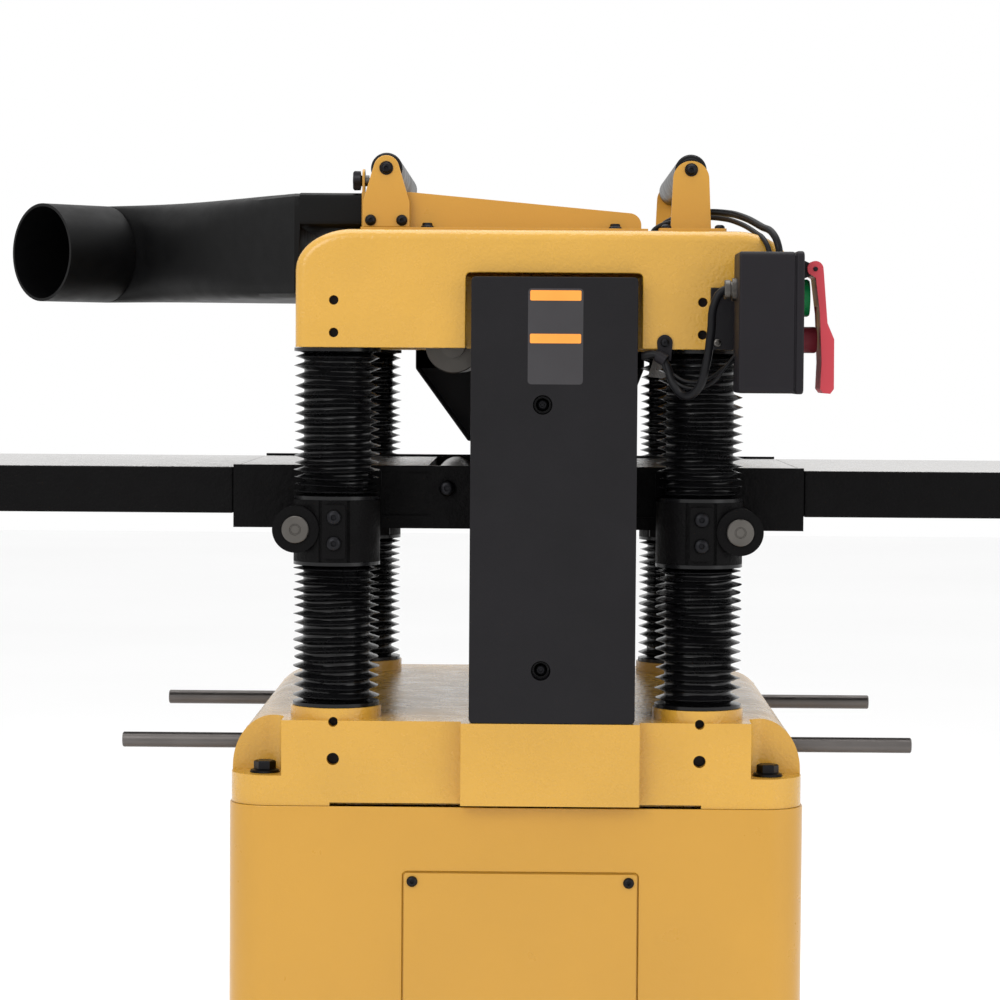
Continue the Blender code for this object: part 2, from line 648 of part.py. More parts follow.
def cutting_group():
    centre = (CUTTER_X, 0, CUTTER_Z)
    profile = [
        (0, -0.290),
        (0.012, -0.290),
        (0.012, -0.214),
        (0.015, -0.214),
        (0.015, -CUTTER_Y),
        (CUTTER_R, -CUTTER_Y),
        (CUTTER_R, CUTTER_Y),
        (0.015, CUTTER_Y),
        (0.015, 0.214),
        (0.012, 0.214),
        (0.012, 0.306),
        (0, 0.306),
    ]
    head = turned("cutterhead", profile, centre, (0, 1, 0), skin=steel())
    set_origin(head, centre)
    pulley = tube(
        "cutterhead_pulley",
        CUTTER_PULLEY_R,
        0.012 + SHAFT_GAP,
        (CUTTER_X, BELT_Y[0] - 0.001, CUTTER_Z),
        (CUTTER_X, BELT_Y[1] + 0.001, CUTTER_Z),
        16,
        steel(),
    )
    set_origin(pulley, centre)
    for name, x in FEED_ROLLERS.items():
        profile = [
            (0, -0.2145),
            (0.012, -0.2145),
            (0.012, -FEED_Y),
            (FEED_R, -FEED_Y),
            (FEED_R, FEED_Y),
            (0.012, FEED_Y),
            (0.012, 0.306),
            (0, 0.306),
        ]
        set_origin(turned(name, profile, (x, 0, FEED_Z), (0, 1, 0), 16, steel()), (x, 0, FEED_Z))
    centre = (FINGER_X, 0, FINGER_Z)
    shaft = rod(
        "anti_kickback_fingers",
        0.006,
        (FINGER_X, -0.205, FINGER_Z),
        (FINGER_X, 0.205, FINGER_Z),
        8,
        steel(),
    )
    outline = arc((FINGER_X, FINGER_Z), (0.009, 0.009), 200, -20, 3)
    outline += [(FINGER_X - 0.012, FINGER_Z - 0.041), (FINGER_X - 0.020, FINGER_Z - 0.041)]
    pitch = 0.350 / (FINGER_COUNT - 1)
    for i in range(FINGER_COUNT):
        y = pitch * i - 0.175
        fuse(shaft, prism(f"finger_{i}", outline, y - 0.004, y + 0.004))
    set_origin(shaft, centre)


def belt_loop(grow):
    """The belt's outline round both pulleys, this far outside their rims."""
    top, bottom = Vector((CUTTER_X, CUTTER_Z)), Vector((MOTOR_X, MOTOR_Z))
    small, large = CUTTER_PULLEY_R + grow, MOTOR_PULLEY_R + grow
    along = top - bottom
    lean = math.degrees(math.atan2(along.y, along.x))
    half = math.degrees(math.acos((large - small) / along.length))
    points = arc(top, (small, small), lean - half, lean + half, 12)
    return points + arc(bottom, (large, large), lean + half, lean + 360 - half, 14)


def drive():
    rubber = material("belt_rubber", BLACK, 0.7)
    outer, inner = belt_loop(BELT_THICK), belt_loop(BELT_CLEAR)
    prism("drive_belt", outer, *BELT_Y, skin=rubber, inner=inner)
    motor = rod(
        "motor",
        MOTOR_R,
        (MOTOR_X, MOTOR_Y[0], MOTOR_Z),
        (MOTOR_X, MOTOR_Y[1], MOTOR_Z),
        20,
        black_paint(),
    )
    foot = box(
        "motor_foot",
        (MOTOR_X - 0.075, MOTOR_X + 0.075),
        (-0.200, 0.000),
        (SHEET + GAP, MOTOR_Z - 0.060),
    )
    shaft_end = MOTOR_Y[0] + 0.025
    fuse(motor, foot)
    cut(
        motor,
        rod("shaft_hole", 0.0125, (MOTOR_X, -0.26, MOTOR_Z), (MOTOR_X, shaft_end, MOTOR_Z), 16),
    )
    profile = [
        (0, BELT_Y[0] - 0.001),
        (MOTOR_PULLEY_R, BELT_Y[0] - 0.001),
        (MOTOR_PULLEY_R, BELT_Y[1] + 0.001),
        (0.012, BELT_Y[1] + 0.001),
        (0.012, shaft_end - 0.001),
        (0, shaft_end - 0.001),
    ]
    pulley = turned("motor_pulley", profile, (MOTOR_X, 0, MOTOR_Z), (0, 1, 0), skin=steel())
    set_origin(pulley, (MOTOR_X, 0, MOTOR_Z))


def covers():
    cover = box("belt_cover", COVER_X, COVER_Y, COVER_Z, black_paint())
    wall = 0.002
    cut(
        cover,
        box(
            "belt_cover_hollow",
            (COVER_X[0] + wall, COVER_X[1] - wall),
            (COVER_Y[0] + wall, COVER_Y[1] - wall),
            (COVER_Z[0] - 0.01, COVER_Z[1] - wall),
        ),
        rod("cover_bore", 0.022, (CUTTER_X, -0.27, CUTTER_Z), (CUTTER_X, -0.24, CUTTER_Z), 20),
    )
    for z in COVER_HOLES_Z:
        start, end = (COVER_HOLE_X, -0.31, z), (COVER_HOLE_X, -0.29, z)
        cut(cover, rod(f"cover_hole_{z}", COVER_HOLE_R, start, end, 16))
    outline = [
        (-0.060, 0.846),
        (0.108, 0.846),
        (0.140, 0.930),
        (0.140, 1.035),
        (-0.120, 1.035),
        (-0.120, 0.928),
    ]
    middle = Vector((0.010, 0.945))
    inner = [tuple(middle + (Vector(p) - middle) * 0.97) for p in outline]
    back = HEAD_Y + GAP
    chain_cover = prism("drive_chain_cover", outline, back, 0.320, skin=black_paint())
    cut(chain_cover, prism("chain_cover_hollow", inner, back - 0.01, 0.3175))
    gearbox = prism(
        "feed_gearbox",
        round_rectangle((0.015, 0.125), (0.890, 1.000), 0.018),
        0.320 + GAP,
        0.375,
        skin=cast_iron(),
    )
    knob_x, knob_z = 0.070, 0.960
    cut(gearbox, rod("knob_hole", 0.0065, (knob_x, 0.345, knob_z), (knob_x, 0.38, knob_z), 12))
    profile = [
        (0, 0.360),
        (0.006, 0.360),
        (0.006, 0.393),
        (0.015, 0.395),
        (0.017, 0.405),
        (0.012, 0.414),
        (0, 0.415),
    ]
    knob = turned("feed_shift_knob", profile, (knob_x, 0, knob_z), (0, 1, 0), 16, plastic())
    set_origin(knob, (knob_x, 0.395, knob_z))


def dust_hood():
    low, high = HOOD_X
    slope = (HOOD_REAR_TOP - HOOD_FRONT_TOP) / (high - HOOD_FALL_X)

    def outline(inset, base):
        """Level at the rear, then falling to a round front; open at the rear if inset."""
        rear = low - (0.02 if inset else 0)
        right, radius = high - inset, HOOD_FRONT_R - inset / 2
        top = HOOD_REAR_TOP - inset
        front_top = top - slope * (right - HOOD_FALL_X) - radius
        points = [(rear, base), (right, base)]
        points += arc((right - radius, front_top), (radius, radius), 0, 84, 4)
        return points + [(HOOD_FALL_X, top), (rear, top)]

    bottom = HEAD_Z[1] + GAP
    hood = prism("dust_hood", outline(0, bottom), -HOOD_Y, HOOD_Y, skin=paint())
    flange_y = HOOD_Y + HOOD_FLANGE_OUT
    flange_z = (bottom, bottom + HOOD_FLANGE)
    fuse(hood, box("hood_flange", (low, high + 0.006), (-flange_y, flange_y), flange_z))
    inside = outline(HOOD_SHEET, bottom - 0.01)
    cut(hood, prism("hood_hollow", inside, HOOD_SHEET - HOOD_Y, HOOD_Y - HOOD_SHEET))


def chute_ring(centre, half_width, half_height, roundness, yaw, count=28):
    """One cross-section of the chute: a rectangle that turns into a circle as roundness goes to 1."""
    points = []
    for i in range(count):
        angle = math.tau * (i + 0.5) / count
        c, s = math.cos(angle), math.sin(angle)
        square = 1 / max(abs(c), abs(s))
        stretch = square + (1 - square) * roundness
        across, up = half_width * c * stretch, half_height * s * stretch
        points.append(
            Vector(centre) + Vector((-across * math.sin(yaw), across * math.cos(yaw), up))
        )
    return points


def dust_chute():
    base, mouth = Vector(PORT_BASE), Vector(PORT_MOUTH)
    run = base - mouth
    yaw = math.atan2(run.y, run.x)
    low_deck = HEAD_Z[1] + 0.0055
    deck = ((low_deck + CHUTE_Z) / 2, (CHUTE_Z - low_deck) / 2)
    rear = ((CHUTE_REAR_LOW + CHUTE_Z) / 2, (CHUTE_Z - CHUTE_REAR_LOW) / 2)
    front_end = HOOD_X[0] - GAP
    deck_end, funnel_start = CHUTE_DROP_X
    sections = [
        ((front_end, 0, deck[0]), CHUTE_Y, deck[1], 0.0, 0.0),
        ((deck_end, 0, deck[0]), CHUTE_Y, deck[1], 0.0, 0.0),
        ((funnel_start, 0, rear[0]), CHUTE_Y, rear[1], 0.06, 0.0),
    ]
    across = Vector((-run.y, run.x)).normalized() * PORT_R
    near = (Vector((funnel_start, -CHUTE_Y)), base - across)
    far = (Vector((funnel_start, CHUTE_Y)), base + across)
    steps = 3
    for i in range(1, steps + 1):
        t = i / steps
        left, right = near[0].lerp(near[1], t), far[0].lerp(far[1], t)
        middle, reach = (left + right) / 2, right - left
        height = rear[0] + (PORT_Z - rear[0]) * t
        half_height = rear[1] + (PORT_R - rear[1]) * t
        turn = math.atan2(-reach.x, reach.y)
        sections.append(((*middle, height), reach.length / 2, half_height, t, turn))
    sections.append(((mouth.x, mouth.y, PORT_Z), PORT_R, PORT_R, 1.0, yaw))
    bm = bmesh.new()
    skins = []
    for wall in (0.0, CHUTE_WALL):
        rings = []
        for centre, half_width, half_height, roundness, turn in sections:
            ring = chute_ring(centre, half_width - wall, half_height - wall, roundness, turn)
            rings.append([bm.verts.new(point) for point in ring])
        skins.append(rings)
    count = len(skins[0][0])
    strips = [(rings[i], rings[i + 1]) for rings in skins for i in range(len(rings) - 1)]
    strips += [(skins[0][0], skins[1][0]), (skins[0][-1], skins[1][-1])]
    for first, second in strips:
        for i in range(count):
            j = (i + 1) % count
            bm.faces.new((first[i], first[j], second[j], second[i]))
    finish_mesh("dust_chute", bm, plastic(), smooth=True)


def return_rollers():
    end = BRACKET_Y[0] - ROLLER_END_GAP
    for name, x in RETURN_ROLLERS.items():
        half = [(0, AXLE_Y), (AXLE_R, AXLE_Y), (AXLE_R, end), (RETURN_R, end)]
        profile = [(radius, -y) for radius, y in half] + half[::-1]
        roller = turned(name, profile, (x, 0, RETURN_Z), (0, 1, 0), 16, black_paint())
        set_origin(roller, (x, 0, RETURN_Z))
    rear_x, front_x = RETURN_ROLLERS.values()
    head_top = HEAD_Z[1] + GAP
    foot_top = head_top + HOOD_FLANGE + GAP
    rear_half, rear_shoulder, rear_arch = 0.023, 1.092, 0.0125
    front_half, front_arch, front_arch_z = 0.020, 0.0177, RETURN_Z - 0.009
    plates = {
        "rear": [(rear_x + rear_half, foot_top), (rear_x + rear_half, rear_shoulder)]
        + arc((rear_x, RETURN_Z), (rear_arch, rear_arch), 15, 165, 8)
        + [(rear_x - rear_half, rear_shoulder), (rear_x - rear_half, foot_top)],
        "front": [(front_x + front_half, head_top)]
        + arc((front_x, front_arch_z), (front_arch, front_arch), 0, 180, 8)
        + [(front_x - front_half, head_top)],
    }
    for place, outline in plates.items():
        x = rear_x if place == "rear" else front_x
        for name, side in (("left", -1), ("right", 1)):
            y = sorted((side * BRACKET_Y[0], side * BRACKET_Y[1]))
            node = f"{place}_{name}_roller_bracket"
            plate = prism(node, outline, *y, skin=paint())
            if place == "front":
                foot_y = sorted((side * BRACKET_Y[0], side * (BRACKET_Y[1] + 0.026)))
                foot_x = (x - 0.032, x + 0.034)
                fuse(plate, box(f"{node}_foot", foot_x, foot_y, (head_top, foot_top)))
            start, stop = (x, -0.22 * side, RETURN_Z), (x, 0.22 * side, RETURN_Z)
            cut(plate, rod(f"{node}_axle_hole", AXLE_R + 0.0005, start, stop, 12))


def switch():
    body = prism(
        "switch_box",
        round_rectangle(SWITCH_X, SWITCH_Z, 0.006, steps=2),
        *SWITCH_Y,
        skin=plastic(),
    )
    fuse(
        body,
        box("switch_arm", SWITCH_ARM_X, (SWITCH_Y[1] - 0.002, SWITCH_PLATE_Y + 0.002), SWITCH_ARM_Z),
        box("switch_plate", SWITCH_PLATE_X, (SWITCH_PLATE_Y, -HEAD_Y - GAP), SWITCH_PLATE_Z),
    )
    front = SWITCH_X[1]
    for name, z, radius, face, colour in (
        ("start_button", START_Z, START_R, START_FACE_X, (0.01, 0.22, 0.05)),
        ("stop_button", STOP_Z, STOP_R, STOP_FACE_X, (0.25, 0.02, 0.03)),
    ):
        inner = front - 0.0015
        bottom = (inner - BUTTON_TRAVEL - 0.0005, BUTTON_Y, z)
        cut(body, rod(f"{name}_well", radius + SHAFT_GAP, bottom, (front + 0.01, BUTTON_Y, z), 20))
        skin = material(f"{name}_plastic", colour, 0.4)
        button = rod(name, radius, (inner, BUTTON_Y, z), (face, BUTTON_Y, z), 18, skin)
        set_origin(button, (front, BUTTON_Y, z))
    x, z = PADDLE_X, PADDLE_Z
    outline = arc((x, z), (PADDLE_EYE_R, PADDLE_EYE_R), 0, 215, 8)
    outline += [
        (x + 0.0003, z - 0.0080),
        (x + 0.0045, z - 0.0415),
        (x + 0.0065, z - 0.0860),
        (x + 0.0055, z - 0.1110),
        (x + 0.0085, z - 0.1150),
        (x + 0.0150, z - 0.1155),
        (x + 0.0183, z - 0.1110),
        (x + 0.0181, z - 0.0650),
        (x + 0.0117, z - 0.0500),
        (x + 0.0080, z - 0.0052),
    ]
    red = material("paddle_plastic", (0.45, 0.03, 0.04), 0.35)
    set_origin(prism("stop_paddle", outline, *PADDLE_Y, skin=red), (x, BUTTON_Y, z))


def lift_bars():
    for name, x, y in corners(1, 1):
        start = (x * LIFT_BAR_X[0], y * LIFT_BAR_Y, LIFT_BAR_Z)
        end = (x * LIFT_BAR_X[1], y * LIFT_BAR_Y, LIFT_BAR_Z)
        set_origin(rod(f"{name}_lift_bar", LIFT_BAR_R, start, end, 12, steel()), end)


def smooth_route(points, spacing):
    """Points about this far apart on a smooth curve through the route's own points."""
    knots = [Vector(point) for point in points]
    knots = [2 * knots[0] - knots[1]] + knots + [2 * knots[-1] - knots[-2]]
    route = []
    for a, b, c, d in zip(knots, knots[1:], knots[2:], knots[3:]):
        steps = max(1, round((c - b).length / spacing))
        for i in range(steps):
            t = i / steps
            route.append(
                0.5 * (2 * b + (c - a) * t + (2 * a - 5 * b + 4 * c - d) * t * t
                + (3 * b - a - 3 * c + d) * t**3)
            )
    return route + [knots[-2]]


def cable(name, points, diameter):
    curve = bpy.data.curves.new(name, "CURVE")
    curve.dimensions = "3D"
    curve.bevel_depth = diameter / 2
    curve.bevel_resolution = 2
    curve.use_fill_caps = True
    route = smooth_route(points, 2.5 * diameter)
    spline = curve.splines.new("POLY")
    spline.points.add(len(route) - 1)
    for point, place in zip(spline.points, route):
        point.co = (*place, 1.0)
    curve.materials.append(material("cable_jacket", BLACK, 0.5))
    made = bpy.data.objects.new(name, curve)
    bpy.context.scene.collection.objects.link(made)
    return made


def cables():
    motor_route = [
        (0.2000, -0.345, 1.005),
        (0.1910, -0.345, 1.004),
        (0.1830, -0.345, 0.992),
        (0.1800, -0.343, 0.965),
        (0.1760, -0.338, 0.935),
        (0.1690, -0.328, 0.912),
        (0.1580, -0.316, 0.905),
        (0.1470, -0.304, 0.916),
        (0.1390, -0.297, 0.936),
        (0.1300, -0.293, 0.944),
        (0.1175, -0.290, 0.9425),
    ]
    cable("motor_cable", motor_route, 0.008)
    lead_route = [
        (0.138, -0.150, 1.0630),
        (0.140, -0.150, 1.0700),
        (0.156, -0.155, 1.0800),
        (0.180, -0.170, 1.0845),
        (0.200, -0.195, 1.0835),
        (0.217, -0.232, 1.0775),
        (0.232, -0.268, 1.0670),
        (0.2405, -0.288, 1.0605),
        (0.2455, -0.2985, 1.0480),
        (0.2470, -0.3005, 1.0340),
        (0.2470, -0.3060, 1.0250),
        (0.2470, -0.3110, 1.0240),
    ]
    cable("control_lead", lead_route, 0.007)


def main():
    clear_scene()
    cabinet()
    base_casting()
    columns_and_bellows()
    table()
    extensions()
    bed_rollers()
    table_locks()
    raising_gear()
    handwheel()
    head_casting()
    cutting_group()
    drive()
    covers()
    dust_hood()
    dust_chute()
    return_rollers()
    switch()
    lift_bars()
    cables()


main()
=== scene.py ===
"""Looks of the thickness planer: fine meshes, procedural materials, studio and camera.

Metres, +Z up, the frame's own axes: +X is the infeed end and -Y the side with the belt cover.
"""

import json
import math

import bmesh
import bpy
from mathutils import Matrix, Vector


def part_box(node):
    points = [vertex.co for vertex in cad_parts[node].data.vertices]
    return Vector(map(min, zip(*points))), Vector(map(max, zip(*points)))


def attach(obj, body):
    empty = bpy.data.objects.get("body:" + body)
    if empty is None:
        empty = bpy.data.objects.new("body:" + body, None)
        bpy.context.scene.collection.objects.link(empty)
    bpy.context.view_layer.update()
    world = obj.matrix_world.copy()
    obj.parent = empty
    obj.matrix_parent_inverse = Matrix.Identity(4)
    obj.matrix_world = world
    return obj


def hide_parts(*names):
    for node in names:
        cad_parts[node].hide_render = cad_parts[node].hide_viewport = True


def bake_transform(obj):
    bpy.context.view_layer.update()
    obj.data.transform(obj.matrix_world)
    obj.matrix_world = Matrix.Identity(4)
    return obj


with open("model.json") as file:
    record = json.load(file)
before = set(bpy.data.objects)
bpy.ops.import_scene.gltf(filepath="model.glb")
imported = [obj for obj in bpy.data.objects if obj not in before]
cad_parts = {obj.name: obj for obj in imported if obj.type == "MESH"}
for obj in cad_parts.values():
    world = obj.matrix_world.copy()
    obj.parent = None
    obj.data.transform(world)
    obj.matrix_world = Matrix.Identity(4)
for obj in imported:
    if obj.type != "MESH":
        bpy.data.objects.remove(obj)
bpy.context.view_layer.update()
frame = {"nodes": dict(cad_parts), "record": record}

NODES = frame["nodes"]
CORNERS = [
    (f"{x_name}_{y_name}", x_sign, y_sign)
    for x_name, x_sign in (("rear", -1), ("front", 1))
    for y_name, y_sign in (("left", -1), ("right", 1))
]


def extent(node):
    low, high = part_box(node)
    return Vector(low), Vector(high)


def middle(node):
    low, high = extent(node)
    return (low + high) / 2


# Places taken from the frame
CABINET_HIGH = extent("cabinet_shell")[1]
PANEL_LOW, PANEL_HIGH = extent("motor_access_panel")
BASE_LOW, BASE_HIGH = extent("base_casting")
HEAD_LOW, HEAD_HIGH = extent("head_casting")
TABLE_HIGH = extent("table_casting")[1]
COVER_LOW, COVER_HIGH = extent("belt_cover")
HOOD_LOW, HOOD_HIGH = extent("dust_hood")
SWITCH_LOW, SWITCH_HIGH = extent("switch_box")
COLUMN = middle("front_right_column")
COLUMN_X, COLUMN_Y = COLUMN.x, COLUMN.y

# Sizes that the fine meshes share with the solids
COLUMN_BORE_R = 0.0254
DECK, BOSS_R, SHOULDER = 0.591, 0.044, (0.04, 0.05)
BASE_X, BASE_Y, BASE_CORNER_R, POCKET_FLOOR = 0.2765, 0.288, 0.04, 0.5375
TABLE_X, TABLE_Y, TABLE_TOP, TABLE_UNDER = 0.281, 0.196, 0.831, 0.7715
BED_ROLLERS_X, BED_ROLLER_Z = (-0.07, 0.09), 0.8114
WHEEL_X, WHEEL_Z, SCREW_Y = 0.04, 0.54, 0.15
CUTTER_X, CUTTER_Z, FEED_Z = 0.01, 0.965, 0.952
BAR_Y, BAR_Z = 0.2, 0.561
HEAD_HOLES_Z, BUTTON_Y, HOOD_Y = (0.994, 0.963), -0.345, 0.192
WORK_Y = 0.1905
COLLAR_R, COLLAR_Z = 0.042, (0.7425, 0.802)
LOCK_X, LOCK_Z = 0.2135, 0.774
REAR_ROLLER_X, FRONT_ROLLER_X, RETURN_Z = -0.1315, 0.167, 1.125
START_Z, STOP_Z = 0.9975, 0.9585
KNOB_Y, KNOB_Z = 0.1815, 1.1135
GEAR_X, GEAR_Z = 0.07, 0.96

GAP = 0.0003  # left between pieces that sit on each other
SHARP = math.radians(32)  # edges that turn by more than this are rounded

# ---------------------------------------------------------------- mesh tools


def link_object(name, data):
    made = bpy.data.objects.new(name, data)
    bpy.context.scene.collection.objects.link(made)
    return made


def smooth_object(name, bm, smooth=35):
    mesh = bpy.data.meshes.new(name)
    bm.to_mesh(mesh)
    bm.free()
    mesh.shade_smooth()
    mesh.set_sharp_from_angle(angle=math.radians(smooth))
    return link_object(name, mesh)


def new_object(name, bm, smooth=35):
    bmesh.ops.remove_doubles(bm, verts=bm.verts, dist=1e-7)
    bmesh.ops.recalc_face_normals(bm, faces=bm.faces)
    return smooth_object(name, bm, smooth)


def both_ways(half):
    """A turned profile from one half: the same steps out to either end."""
    return [(r, -h) for r, h in half] + half[::-1]


def on_side(sign, near, far):
    """The low and high end of a stretch from near to far out on this side."""
    return sorted((sign * near, sign * far))


def box(name, x, y, z):
    bm = bmesh.new()
    bmesh.ops.create_cube(bm, size=1.0)
    for vert in bm.verts:
        vert.co = Vector(
            [low + (co + 0.5) * (high - low) for co, (low, high) in zip(vert.co, (x, y, z))]
        )
    return new_object(name, bm)


def turned(name, profile, centre, axis=(0, 0, 1), sides=48, closed=False):
    """Turns a profile of (radius, height along axis) round the axis through centre."""
    bm = bmesh.new()
    turn = Vector((0, 0, 1)).rotation_difference(Vector(axis)).to_matrix().to_4x4()
    place = Matrix.Translation(centre) @ turn
    rings = []
    for radius, height in profile:
        if radius == 0:
            rings.append([bm.verts.new(place @ Vector((0, 0, height)))] * sides)
            continue
        ring = []
        for i in range(sides):
            angle = math.tau * i / sides
            point = Vector((radius * math.cos(angle), radius * math.sin(angle), height))
            ring.append(bm.verts.new(place @ point))
        rings.append(ring)
    pairs = list(zip(rings, rings[1:])) + ([(rings[-1], rings[0])] if closed else [])
    for low, high in pairs:
        for i in range(sides):
            j = (i + 1) % sides
            face = list(dict.fromkeys([low[i], low[j], high[j], high[i]]))
            if len(face) > 2:
                bm.faces.new(face)
    return new_object(name, bm)


def rod(name, radius, start, end, sides=48, edge=0.0):
    """A round bar whose ends have a small chamfer, if edge is given."""
    start, end = Vector(start), Vector(end)
    length = (end - start).length
    profile = [(0, 0), (radius - edge, 0), (radius, edge)] if edge else [(0, 0), (radius, 0)]
    profile += [(r, length - h) for r, h in reversed(profile)]
    return turned(name, profile, start, end - start, sides)


def cross_rod(name, radius, x, z, low, high, sides=48):
    """A round bar that lies along Y."""
    return rod(name, radius, (x, low, z), (x, high, z), sides)


def prism(name, outline, low, high, axis="y", inner=None):
    """Extrudes an outline of (x, z) along Y, (x, y) along Z or (y, z) along X."""
    bm = bmesh.new()

    def ring(points, level):
        if axis == "y":
            return [bm.verts.new((x, level, z)) for x, z in points]
        if axis == "x":
            return [bm.verts.new((level, y, z)) for y, z in points]
        return [bm.verts.new((x, y, level)) for x, y in points]

    loops = [(ring(outline, low), ring(outline, high))]
    if inner:
        loops.append((ring(inner, low), ring(inner, high)))
    for first, last in loops:
        for i, vert in enumerate(first):
            j = (i + 1) % len(first)
            bm.faces.new((vert, first[j], last[j], last[i]))
    for end in (0, 1):
        if not inner:
            bm.faces.new(loops[0][end])
            continue
        outer_end, inner_end = loops[0][end], loops[1][end]
        for i, vert in enumerate(outer_end):
            j = (i + 1) % len(outer_end)
            bm.faces.new((vert, outer_end[j], inner_end[j], inner_end[i]))
    return new_object(name, bm)


def arc(centre, radii, start, end, steps):
    """Points on an ellipse's arc, angles in degrees."""
    angles = [math.radians(start + (end - start) * i / steps) for i in range(steps + 1)]
    return [
        (centre[0] + radii[0] * math.cos(a), centre[1] + radii[1] * math.sin(a)) for a in angles
    ]


def round_rectangle(x, z, radius, steps=8):
    corners = (
        ((x[1] - radius, z[1] - radius), 0),
        ((x[0] + radius, z[1] - radius), 90),
        ((x[0] + radius, z[0] + radius), 180), ((x[1] - radius, z[0] + radius), 270), )
    points = []
    for centre, start in corners:
        points += arc(centre, (radius, radius), start, start + 90, steps)
    return points


def bake(target):
    """Puts the result of the modifiers into the mesh itself."""
    graph = bpy.context.evaluated_depsgraph_get()
    mesh = bpy.data.meshes.new_from_object(target.evaluated_get(graph))
    target.modifiers.clear()
    target.data = mesh


def carve(target, adds=(), cuts=()):
    """Joins and cuts the target's mesh with the tools, and removes the tools."""
    for operation, tools in (("UNION", adds), ("DIFFERENCE", cuts)):
        for tool in tools:
            change = target.modifiers.new(tool.name, "BOOLEAN")
            change.operation = operation
            change.solver = "EXACT"
            change.object = tool
    bake(target)
    for tool in (*adds, *cuts):
        bpy.data.objects.remove(tool)
    return target


def join(name, parts):
    """One object from several loose ones, in world place."""
    bm = bmesh.new()
    for part in parts:
        part.data.transform(part.matrix_world)
        bm.from_mesh(part.data)
        bpy.data.objects.remove(part)
    return smooth_object(name, bm)


def round_edges(piece, width, segments=3, rule=None):
    """Rounds the sharp edges. A rule gives each edge's share of the width from its middle."""
    change = piece.modifiers.new("round_edges", "BEVEL")
    change.width = width
    change.segments = segments
    change.harden_normals = True
    change.limit_method = "ANGLE"
    change.angle_limit = SHARP
    if not rule:
        return piece
    bm = bmesh.new()
    bm.from_mesh(piece.data)
    layer = bm.edges.layers.float.new("bevel_weight_edge")
    for edge in bm.edges:
        sharp = len(edge.link_faces) == 2 and edge.calc_face_angle() > SHARP
        edge[layer] = rule((edge.verts[0].co + edge.verts[1].co) / 2) if sharp else 0.0
    bm.to_mesh(piece.data)
    bm.free()
    change.limit_method = "WEIGHT"
    return piece


def coat(piece, skin):
    piece.data.materials.clear()
    piece.data.materials.append(skin)


def dress(piece, skin, *nodes, body="frame"):
    """Gives a piece its material, the body that it rides on and the nodes that it stands for."""
    coat(piece, skin)
    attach(piece, body)
    if nodes:
        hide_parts(*nodes)
    return piece


# ---------------------------------------------------------------- materials


class Shader:
    """A Principled material with a few lines for the nodes that every finish here uses."""

    def __init__(self, name, colour, roughness, metallic=0.0):
        self.material = bpy.data.materials.new(name)
        self.material.use_nodes = True
        self.tree = self.material.node_tree
        self.shader = self.tree.nodes["Principled BSDF"]
        self.set("Base Color", (*colour, 1.0))
        self.set("Roughness", roughness)
        self.set("Metallic", metallic)
        self.place = self.node("TexCoord").outputs["Object"]
        self.colour = colour

    def feed(self, socket, value):
        """Gives an input a value, or links another node's output to it."""
        if isinstance(value, bpy.types.NodeSocket):
            self.tree.links.new(value, socket)
        else:
            socket.default_value = value

    def set(self, socket, value):
        self.feed(self.shader.inputs[socket], value)
        return self

    def node(self, kind, **inputs):
        node = self.tree.nodes.new("ShaderNode" + kind)
        for name, value in inputs.items():
            self.feed(node.inputs[name.replace("_", " ")], value)
        return node

    def scaled(self, scale):
        return self.node("Mapping", Scale=scale, Vector=self.place).outputs["Vector"]

    def noise(self, scale, detail=2.0, rough=0.5, vector=None):
        node = self.node("TexNoise", Scale=scale, Detail=detail, Roughness=rough,
                         Vector=vector or self.place)
        return node.outputs["Fac"]

    def cells(self, scale):
        node = self.node("TexVoronoi", Scale=scale, Vector=self.place)
        node.feature = "SMOOTH_F1"
        return node.outputs["Distance"]

    def span(self, source, low, high, from_low=0.0, from_high=1.0):
        node = self.node("MapRange", From_Min=from_low, From_Max=from_high, To_Min=low, To_Max=high,
                         Value=source)
        return node.outputs["Result"]

    def height(self, source):
        return self.node("SeparateXYZ", Vector=source).outputs["Z"]

    def math(self, operation, first, second):
        node = self.node("Math")
        node.operation = operation
        self.feed(node.inputs[0], first)
        self.feed(node.inputs[1], second)
        return node.outputs["Value"]

    def mix(self, factor, first, second):
        node = self.node("Mix")
        node.data_type = "RGBA"
        self.feed(node.inputs[0], factor)
        for socket, value in ((6, first), (7, second)):
            self.feed(node.inputs[socket], (*value, 1.0) if isinstance(value, tuple) else value)
        return node.outputs[2]

    def mottle(self, scale, amount):
        """Lets the colour drift lighter and darker by this share."""
        dark = tuple(c * (1 - amount) for c in self.colour)
        light = tuple(min(1.0, c * (1 + amount)) for c in self.colour)
        drift = self.span(self.noise(scale, 3.0), 0.0, 1.0, 0.32, 0.68)
        return self.set("Base Color", self.mix(drift, dark, light))

    def vary_roughness(self, scale, low, high):
        return self.set("Roughness", self.span(self.noise(scale, 4.0, 0.6), low, high, 0.3, 0.7))

    def bump(self, height, strength, distance):
        node = self.node("Bump", Strength=strength, Distance=distance, Height=height)
        return self.set("Normal", node.outputs["Normal"])


YELLOW = (0.545, 0.297, 0.037)
# Sheet parts get a darker, more orange copy of the cast yellow: painted shade and interreflection.
SHADED_SHEET_YELLOW = (0.497, 0.254, 0.024)
BLACK = (0.0019, 0.0017, 0.0019)


